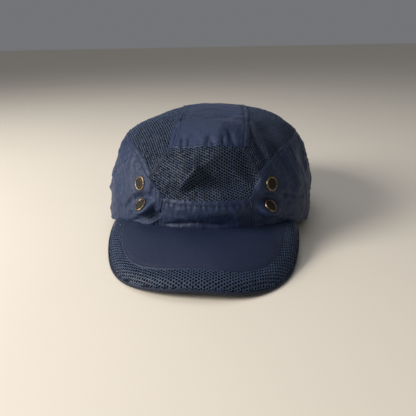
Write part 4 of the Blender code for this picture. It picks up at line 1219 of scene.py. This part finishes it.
peak = {
    "endY": -0.060,
    "reach": 0.0605,
    "sidePower": 2.5,
    "frontPower": 3.4,
    "taper": 0.115,
    "frontLift": 0.006,
    "liftHalf": 0.062,
    "dropShare": 0.17,
    "camber": 0.0025,
    "seamCover": 0.0022,
    "stack": 0.0046,
    "borderSide": 0.0135,
    "borderFront": 0.0140,
    "panelPower": 3.2,
    "edge": 0.0008,        # how far the bound edge stands out
    "edgeDrop": 0.0025,    # the layers thin out towards it
    "skew": 0.045,         # it sits a little askew
    "shift": -0.0012,
    "netFlat": (0.30, 0.022),      # the border cut from a straight strip
    "netTurn": 0.55,
    "boardShare": 0.94,
}
peakTip = -crown["front"] - peak["reach"]
footTurns = np.linspace(-math.pi / 2, 0, 600)
peakHalf = float(np.interp(peak["endY"], hemSpot(footTurns)[:, 1], hemSpot(footTurns)[:, 0]))


def bow(halfWidth, startY, endY, share, sidePower, frontPower):
    # a rounded U in plan, share 0 at its left end
    angle = np.pi * (1 - np.asarray(share, float))
    out = np.abs(np.sin(angle)) ** (2 / frontPower)
    x = np.sign(np.cos(angle)) * np.abs(np.cos(angle)) ** (2 / sidePower) * halfWidth
    return np.stack([x * (1 - peak["taper"] * out), startY + (endY - startY) * out], -1)


def peakEdge(share):
    return bow(peakHalf, peak["endY"], peakTip, share, peak["sidePower"], peak["frontPower"])


def panelEdge(share, grow=0.0):
    half = peakHalf - peak["borderSide"]
    start = turnSpot(hemTurn(half, -1), 0.0)[1]
    return bow(half + grow, start, peakTip + peak["borderFront"] - grow, share, peak["panelPower"], peak["panelPower"])


def seamHeight(y):
    return np.maximum(0, hemHeight(y) + peak["seamCover"] - peak["stack"])


edgeShares = np.linspace(0, 1, 1201)
edgeLine = peakEdge(edgeShares)
edgeTurns = np.arctan2(edgeLine[:, 1], edgeLine[:, 0])
edgeFar = np.linalg.norm(edgeLine, axis=1)
edgeRise = seamHeight(peak["endY"]) * (1 - smoothStep(np.minimum(edgeShares, 1 - edgeShares) / peak["dropShare"]))
edgeRise = edgeRise + peak["frontLift"] * np.maximum(0, 1 - (edgeLine[:, 0] / peak["liftHalf"]) ** 2) ** 2


def onPeak(flat, lift):
    # a plan position on the peak, lifted from its underside
    flat = np.asarray(flat, float)
    turn = np.arctan2(flat[..., 1], flat[..., 0])
    wall = turnSpot(turn, 0.0)
    near = np.linalg.norm(wall[..., :2], axis=-1)
    far, low = np.interp(turn, edgeTurns, edgeFar), np.interp(turn, edgeTurns, edgeRise)
    share = np.clip((np.linalg.norm(flat, axis=-1) - near) / np.maximum(0.0006, far - near), 0, 1)
    high = seamHeight(wall[..., 1])
    z = high + (low - high) * share + peak["camber"] * np.sin(np.pi * share) + lift
    toEdge = np.maximum(0, far - np.linalg.norm(flat, axis=-1))
    z = z - peak["edgeDrop"] * np.exp(-((toEdge / 0.0042) ** 2)) * (np.asarray(lift) > peak["stack"] / 2)
    x = flat[..., 0] + peak["shift"] * share
    y = flat[..., 1] + crownMiddle - peak["skew"] * share * flat[..., 0]
    return np.stack([x, y, z], -1)


def peakFan(turns, near, far, rows):
    reach = near[:, None] + (far - near)[:, None] * rows[None, :]
    return np.stack([reach * np.cos(turns)[:, None], reach * np.sin(turns)[:, None]], -1)


def peakSheet(name, flat, lift, thickness, material, nodes, down=False):
    points = onPeak(flat, lift)
    made = meshPiece(name, points.reshape(-1, 3), gridFaces(*flat.shape[:2]), flat.reshape(-1, 2))
    faceOut(made, (0, crownMiddle - 0.03, 0.5 if down else -0.5))
    thicken(made, thickness)
    dressUp(made, finish[material])
    enter(made, "cap", nodes)


def buildPeak():
    inner = edgeTurns[np.argmax(edgeShares > 0.004)], edgeTurns[np.argmax(edgeShares > 0.996)]
    turns = np.linspace(inner[0], inner[1], 170)
    wall = np.linalg.norm(turnSpot(turns, 0.0)[:, :2], axis=1)
    far = np.interp(turns, edgeTurns, edgeFar)
    rows = np.linspace(0, 1, 34)
    whole = peakFan(turns, wall - 0.0005, far, rows)
    peakSheet("peakUnderCloth", whole, 0.0001, 0.0007, "peakCloth", ["peak_under_cover"], True)
    # the dark cloth that the netting lies on
    lining = peakFan(turns, wall - 0.0004, far - 0.0003, rows)
    peakSheet("peakLining", lining, peak["stack"] - 0.0006, 0.0004, "lining", [])

    shares = np.linspace(0.004, 0.996, 500)
    line = panelEdge(shares)
    lineTurns, lineFar = np.arctan2(line[:, 1], line[:, 0]), np.linalg.norm(line, axis=1)
    turns = np.linspace(lineTurns[0], lineTurns[-1], 150)
    wall = np.linalg.norm(turnSpot(turns, 0.0)[:, :2], axis=1)
    far = np.interp(turns, lineTurns, lineFar)
    marks = np.concatenate([np.linspace(0, 0.93, 40), 1 - np.array((0.055, 0.04, 0.027, 0.016, 0.008, 0.0))])
    panel = peakFan(turns, wall - 0.0006, far, marks)
    toEdge = (1 - marks)[None, :] * (far - wall)[:, None]
    sides = np.minimum(np.arange(150), 149 - np.arange(150))[:, None] * 0.0012
    near = np.minimum(toEdge, sides + 0.0002)
    lift = peak["stack"] + 0.0007 - 0.0006 * np.exp(-((near / 0.0006) ** 2))
    lift = lift - 0.00022 * np.exp(-(((near - 0.0021) / 0.0006) ** 2))
    ripple = [noise.noise(Vector((x * 28, y * 42, 3.0))) for x, y in panel.reshape(-1, 2)]
    lift = lift + np.array(ripple).reshape(lift.shape) * 0.00035
    peakSheet("peakPanel", panel, lift, 0.0006, "peakCloth", ["peak_top_panel"])

    outer, back = peakEdge(np.linspace(0.006, 0.994, 400)), panelEdge(np.linspace(0.994, 0.006, 400), -0.0016)
    outer = outer * (1 - 0.0002 / np.linalg.norm(outer, axis=1, keepdims=True))
    foot = [turnSpot(a, 0.0)[:2] for a in (math.atan2(*back[0][::-1]), math.atan2(*back[-1][::-1]))]
    ends = [turnSpot(a, 0.0)[:2] for a in (math.atan2(*outer[-1][::-1]), math.atan2(*outer[0][::-1]))]
    outline = np.concatenate([outer, ends[:1], foot[:1], back, foot[1:], ends[1:]])

    def lay(flat, heights):
        reach = np.linalg.norm(flat, axis=1)
        end = np.interp(np.arctan2(flat[:, 1], flat[:, 0]), edgeTurns, edgeFar) - 0.0003
        return onPeak(flat * (np.minimum(reach, end) / reach)[:, None], peak["stack"] + 0.00015 + heights)

    net = netMesh("peakNetting", outline, lay, peak["netTurn"], netting["peakPitch"], netting["peakHole"])
    area = flatArea(onPeak(whole, 0.0)) - flatArea(onPeak(panel, 0.0))
    finishNet(net, ["peak_mesh_border"], (0, crownMiddle - 0.03, -0.5))

    # the bound edge: an oval drawn round the outline
    shares = np.linspace(0.004, 0.996, 420)
    edge = peakEdge(shares)
    ahead = np.gradient(edge, axis=0)
    aside = np.stack([ahead[:, 1], -ahead[:, 0]], 1) / np.linalg.norm(ahead, axis=1, keepdims=True)
    low, up = onPeak(edge, 0.0), onPeak(edge, peak["stack"])
    ring = []
    for angle in np.linspace(0, 2 * math.pi, 14, endpoint=False):
        c, s = math.cos(angle), math.sin(angle)
        c = math.copysign(abs(c) ** 0.8, c)
        spread = peak["edge"] * c if c > 0 else 0.0010 * c
        middle = (low + up) / 2
        half = (up[:, 2] - low[:, 2]) / 2 + 0.00025
        point = middle + np.concatenate([aside * spread, np.zeros((len(edge), 1))], 1)
        point[:, 2] += half * s * (1 - 0.25 * (c < 0))
        ring.append(point)
    ring = np.stack(ring, 1)
    count = ring.shape[1]
    faces = [(i * count + j, (i + 1) * count + j, (i + 1) * count + (j + 1) % count, i * count + (j + 1) % count)
             for i in range(len(edge) - 1) for j in range(count)]
    faces += [tuple(range(count)), tuple((len(edge) - 1) * count + j for j in reversed(range(count)))]
    ring[:, :, 2] = np.maximum(ring[:, :, 2], 0.0001)
    steps = distances(edge)
    flats = np.stack(np.meshgrid(steps, np.linspace(0, 0.009, count), indexing="ij"), -1)
    made = meshPiece("peakPiping", ring.reshape(-1, 3), faces, flats.reshape(-1, 2))
    recalculate(made)
    dressUp(made, finish["tape"], 60)
    enter(made, "cap", ["peak_edge_binding"])

    up = np.array([(0.0, 0.0, 1.0)])
    row = panelEdge(np.linspace(0.03, 0.97, 500), -0.0019)
    sewRow("peakPanelStitches", onPeak(row, peak["stack"] + 0.0006), np.repeat(up, 500, 0))
    row = peakEdge(np.linspace(0.03, 0.97, 700))
    row = row * (1 - 0.0026 / np.linalg.norm(row, axis=1, keepdims=True))
    sewRow("peakEdgeStitches", onPeak(row, peak["stack"] + 0.0005), np.repeat(up, 700, 0))
    print("peak made")


def recalculate(piece):
    # faces of a closed mesh point outwards
    work = bmesh.new()
    work.from_mesh(piece.data)
    bmesh.ops.recalc_face_normals(work, faces=work.faces)
    work.to_mesh(piece.data)
    work.free()


buildPeak()


# eyelets

eyelet = {
    "profile": (         # radius and height, in millimetres
        (4.55, -0.9), (4.50, 0.10), (4.60, 0.45), (4.92, 0.68),
        (5.32, 0.66), (5.68, 0.40), (5.82, 0.02), (5.70, -0.25),
    ),
    "gauze": 0.00100,
    "gauzeRadius": 0.0049,
    "washerRadius": 0.0055,
    "washerBore": 0.83,      # share of its radius
    "sides": 36,
}


def eyeletModel():
    # a ring drawn out of one circle, edge by edge, into a rolled lip
    bpy.ops.object.select_all(action="DESELECT")
    start = eyelet["profile"][0]
    bpy.ops.mesh.primitive_circle_add(vertices=eyelet["sides"], radius=start[0] * mm, location=(0, 0, 0))
    model = bpy.context.object
    editAll()
    bpy.ops.transform.translate(value=(0, 0, start[1] * mm))
    for (r1, z1), (r2, z2) in zip(eyelet["profile"], eyelet["profile"][1:]):
        bpy.ops.mesh.extrude_edges_move()
        bpy.ops.transform.resize(value=(r2 / r1, r2 / r1, 1), center_override=(0, 0, 0))
        bpy.ops.transform.translate(value=(0, 0, (z2 - z1) * mm))
    bpy.ops.mesh.extrude_edges_move()          # and back underneath, to close it
    last = eyelet["profile"][-1][0]
    bpy.ops.transform.resize(value=(start[0] / last, start[0] / last, 1), center_override=(0, 0, 0))
    bpy.ops.transform.translate(value=(0, 0, (start[1] + 0.25) * mm))
    bpy.ops.mesh.select_all(action="SELECT")
    bpy.ops.mesh.remove_doubles(threshold=0.00001)
    bpy.ops.mesh.normals_make_consistent(inside=False)
    bpy.ops.object.mode_set(mode="OBJECT")
    return model


def setAt(piece, spot, out, depth, turn):
    # a flat model turned to look along out, its place put into its mesh
    out = Vector(out)
    aim = out.to_track_quat("Z", "Y").to_matrix().to_4x4() @ Matrix.Rotation(turn, 4, "Z")
    centre = Vector(spot) + Vector((float(sway(spot[2])), crownMiddle, 0)) + out * depth
    piece.data.transform(Matrix.Translation(centre) @ aim)
    piece.matrix_world = Matrix.Identity(4)


def copyOf(model, name):
    made = bpy.data.objects.new(name, model.data.copy())
    bpy.context.scene.collection.objects.link(made)
    return made


def gauzeModel():
    # fine wire cloth, slightly domed
    turns = np.linspace(0, 2 * math.pi, 40, endpoint=False)
    rim = np.stack([np.cos(turns), np.sin(turns)], 1) * eyelet["gauzeRadius"]

    def lay(flat, heights):
        dome = 0.0003 * (1 - (np.linalg.norm(flat, axis=1) / eyelet["gauzeRadius"]) ** 2)
        return np.concatenate([flat, (heights * 0.4 + dome)[:, None]], 1)

    made = netMesh("gauze", rim, lay, 0.4, eyelet["gauze"], (0.6, 0.6))
    faceOut(made, (0, 0, -1))
    thicken(made, 0.00022)
    bpy.ops.object.select_all(action="DESELECT")
    bpy.ops.mesh.primitive_circle_add(vertices=eyelet["sides"], radius=eyelet["gauzeRadius"], fill_type="NGON")
    disc = bpy.context.object          # the stiff cloth behind the wires
    editAll()
    bpy.ops.mesh.inset(thickness=0.0016, depth=0.0002)
    bpy.ops.mesh.extrude_region_move(TRANSFORM_OT_translate={"value": (0, 0, 0.00004)})
    bpy.ops.mesh.select_all(action="SELECT")
    bpy.ops.transform.translate(value=(0, 0, -0.00006))
    bpy.ops.object.mode_set(mode="OBJECT")
    thicken(disc, 0.0003)
    made.select_set(True)
    bpy.context.view_layer.objects.active = made
    bpy.ops.object.join()
    return made


def washerModel():
    bpy.ops.object.select_all(action="DESELECT")
    bpy.ops.mesh.primitive_circle_add(vertices=eyelet["sides"], radius=eyelet["washerRadius"])
    model = bpy.context.object
    editAll()
    bpy.ops.mesh.extrude_edges_move()
    bore = eyelet["washerBore"]
    bpy.ops.transform.resize(value=(bore, bore, 1), center_override=(0, 0, 0))
    bpy.ops.mesh.select_all(action="SELECT")
    bpy.ops.mesh.normals_make_consistent(inside=False)
    bpy.ops.object.mode_set(mode="OBJECT")
    thicken(model, 0.0004)
    return model


def setEyelets():
    ring, gauze, washer = eyeletModel(), gauzeModel(), washerModel()
    for name, (spot, out) in eyelets.items():
        label = name.replace("_u", "U").replace("_l", "L")
        for model, kind, node, depth, material in (
            (ring, "Eyelet", "eyelet", 0.0008, "brass"),
            (gauze, "Gauze", "screen", 0.0009, "gauze"),
            (washer, "Washer", "washer", -0.0016, "brass"),
        ):
            made = copyOf(model, label + kind)
            setAt(made, spot, out, depth, 0.6 * len(label))
            dressUp(made, finish[material], 40)
            enter(made, "cap", [name + "_" + node])
    for model in (ring, gauze, washer):
        bpy.data.objects.remove(model)
    print("eyelets set")


setEyelets()


# inside: sweatband, tapes, shell and pads

def nodeCopy(node, name):
    # a merged copy of a CAD node's mesh, as a new piece
    made = bpy.data.objects.new(name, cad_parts[node].data.copy())
    bpy.context.scene.collection.objects.link(made)
    work = bmesh.new()
    work.from_mesh(made.data)
    bmesh.ops.remove_doubles(work, verts=work.verts, dist=1e-6)
    bmesh.ops.recalc_face_normals(work, faces=work.faces)
    work.to_mesh(made.data)
    work.free()
    choose(made)
    return made


def unwrap(piece):
    choose(piece)
    editAll()
    bpy.ops.uv.cube_project(cube_size=1.0)
    bpy.ops.object.mode_set(mode="OBJECT")


# node, piece, finish, slot, body, voxel, waviness, fill of a padded piece
softPieces = (
    ("sweatband", "terrySweatband", "terry", "sweatband_terry", "cap", 0.0011, 0.0004, 0.5),
    ("hem_tape", "hemTape", "tape", "binding_tape", "cap", 0.0, 0.0, None),
    ("rear_opening_binding", "rearBinding", "tape", "binding_tape", "cap", 0.00045, 0.0002, None),
    ("closure_tab", "closureTab", "webbing", "strap_webbing", "cap", 0.00045, 0.0002, None),
    ("closure_strap", "closureStrap", "webbing", "strap_webbing", "cap", 0.00050, 0.0003, None),
    ("closure_tail", "closureTail", "webbing", "strap_webbing", "closure_flap", 0.00050, 0.0002, None),
    ("hook_tape", "hookTape", "hooks", "hook_tape", "closure_flap", 0.0005, 0.0001, None),
    ("loop_tape", "loopTape", "loops", "loop_tape", "cap", 0.0005, 0.0002, None),
    ("front_pad", "frontPad", "foam", "eva_foam", "insert", 0.0016, 0.0004, 0.7),
    ("rear_pad", "rearPad", "foam", "eva_foam", "insert", 0.0016, 0.0004, 0.7),
    ("left_pad", "leftPad", "foam", "eva_foam", "insert", 0.0016, 0.0004, 0.7),
    ("right_pad", "rightPad", "foam", "eva_foam", "insert", 0.0016, 0.0004, 0.7),
    ("crown_pad", "crownPad", "foam", "eva_foam", "insert", 0.0016, 0.0004, 0.7),
)


def ruffle(piece, amount):
    # small waves, pushed along the normals
    mesh = piece.data
    normals = [v.normal.copy() for v in mesh.vertices]
    for vertex, normal in zip(mesh.vertices, normals):
        wave = noise.noise(vertex.co * 95) + 0.5 * noise.noise(vertex.co * 260)
        vertex.co = vertex.co + normal * wave * amount
        vertex.co.z = max(vertex.co.z, 0.0001)


foam = {"quality": 4, "pressure": 4.0, "frames": 20, "most": 0.0007}


def swell(piece, most):
    # the foam's soft faces puff a little: a short cloth run, held to a small distance
    start = meshPoints(piece)
    choose(piece)
    bpy.ops.object.modifier_add(type="CLOTH")
    cloth = piece.modifiers[-1]
    cloth.settings.quality = foam["quality"]
    cloth.settings.use_pressure = True
    cloth.settings.uniform_pressure_force = foam["pressure"]
    cloth.settings.effector_weights.gravity = 0.0
    cloth.point_cache.frame_start, cloth.point_cache.frame_end = 1, foam["frames"]
    for frameNumber in range(1, foam["frames"] + 1):
        bpy.context.scene.frame_set(frameNumber)
    bpy.ops.object.modifier_apply(modifier=cloth.name)
    bpy.context.scene.frame_set(1)
    moved = meshPoints(piece) - start
    length = np.linalg.norm(moved, axis=1, keepdims=True)
    held = start + moved * np.minimum(1, most / np.maximum(length, 1e-9))
    for vertex, point in zip(piece.data.vertices, held):
        vertex.co = point


def makeSoftPieces():
    for node, name, material, slot, body, voxel, waves, fill in softPieces:
        made = nodeCopy(node, name)
        if voxel:
            addModifier(made, "REMESH", mode="VOXEL", voxel_size=voxel, use_smooth_shade=True)
            addModifier(made, "SMOOTH", factor=0.5, iterations=3)
            if material == "foam":
                swell(made, foam["most"])
            ruffle(made, waves)
        else:
            addModifier(made, "BEVEL", width=0.00015, segments=2, limit_method="ANGLE", angle_limit=math.radians(50))
        unwrap(made)
        dressUp(made, finish[material], 50)
        enter(made, body, [node])
    print("soft pieces made")


# node, piece, finish, slot, body, voxel, rounds of smoothing
hardPieces = (
    ("hard_shell", "hardShell", "shell", "shell_plastic", "insert", 0.0011, 4),
    ("closure_ring", "closureRing", "brass", "antique_brass", "cap", 0.00032, 6),
)


def makeHardPieces():
    for node, name, material, slot, body, voxel, rounds in hardPieces:
        made = nodeCopy(node, name)
        addModifier(made, "REMESH", mode="VOXEL", voxel_size=voxel, use_smooth_shade=True)
        addModifier(made, "SMOOTH", factor=0.5, iterations=rounds)
        dressUp(made, finish[material], 60)
        enter(made, body, [node])
    print("shell and ring made")


def makeBoard():
    # the peak's board follows the covers, and stays inside the bound edge
    made = nodeCopy("peak_board", "peakBoard")
    points = meshPoints(made) - (0, crownMiddle, 0)
    lift = points[:, 2] - onPeak(points[:, :2], 0.0)[:, 2]
    turn = np.arctan2(points[:, 1], points[:, 0])
    near = np.linalg.norm(turnSpot(turn, 0.0)[:, :2], axis=1)
    reach = np.linalg.norm(points[:, :2], axis=1)
    shrunk = near + (reach - near) * peak["boardShare"]
    placed = onPeak(points[:, :2] / reach[:, None] * shrunk[:, None], np.clip(lift, 0.0010, 0.0030))
    for vertex, point in zip(made.data.vertices, placed):
        vertex.co = point
    addModifier(made, "BEVEL", width=0.0003, segments=2, limit_method="ANGLE", angle_limit=math.radians(50))
    dressUp(made, finish["board"], 50)
    enter(made, "cap", ["peak_board"])


makeSoftPieces()
makeHardPieces()
makeBoard()


# the table

def addFloor():
    bpy.ops.object.select_all(action="DESELECT")
    bpy.ops.mesh.primitive_plane_add(size=24.0, location=(0, 0, -0.0002))
    floor = bpy.context.object
    floor.name = "floor"
    floor.data.materials.append(finish["floor"])


addCamera()
addRoom()
addFloor()
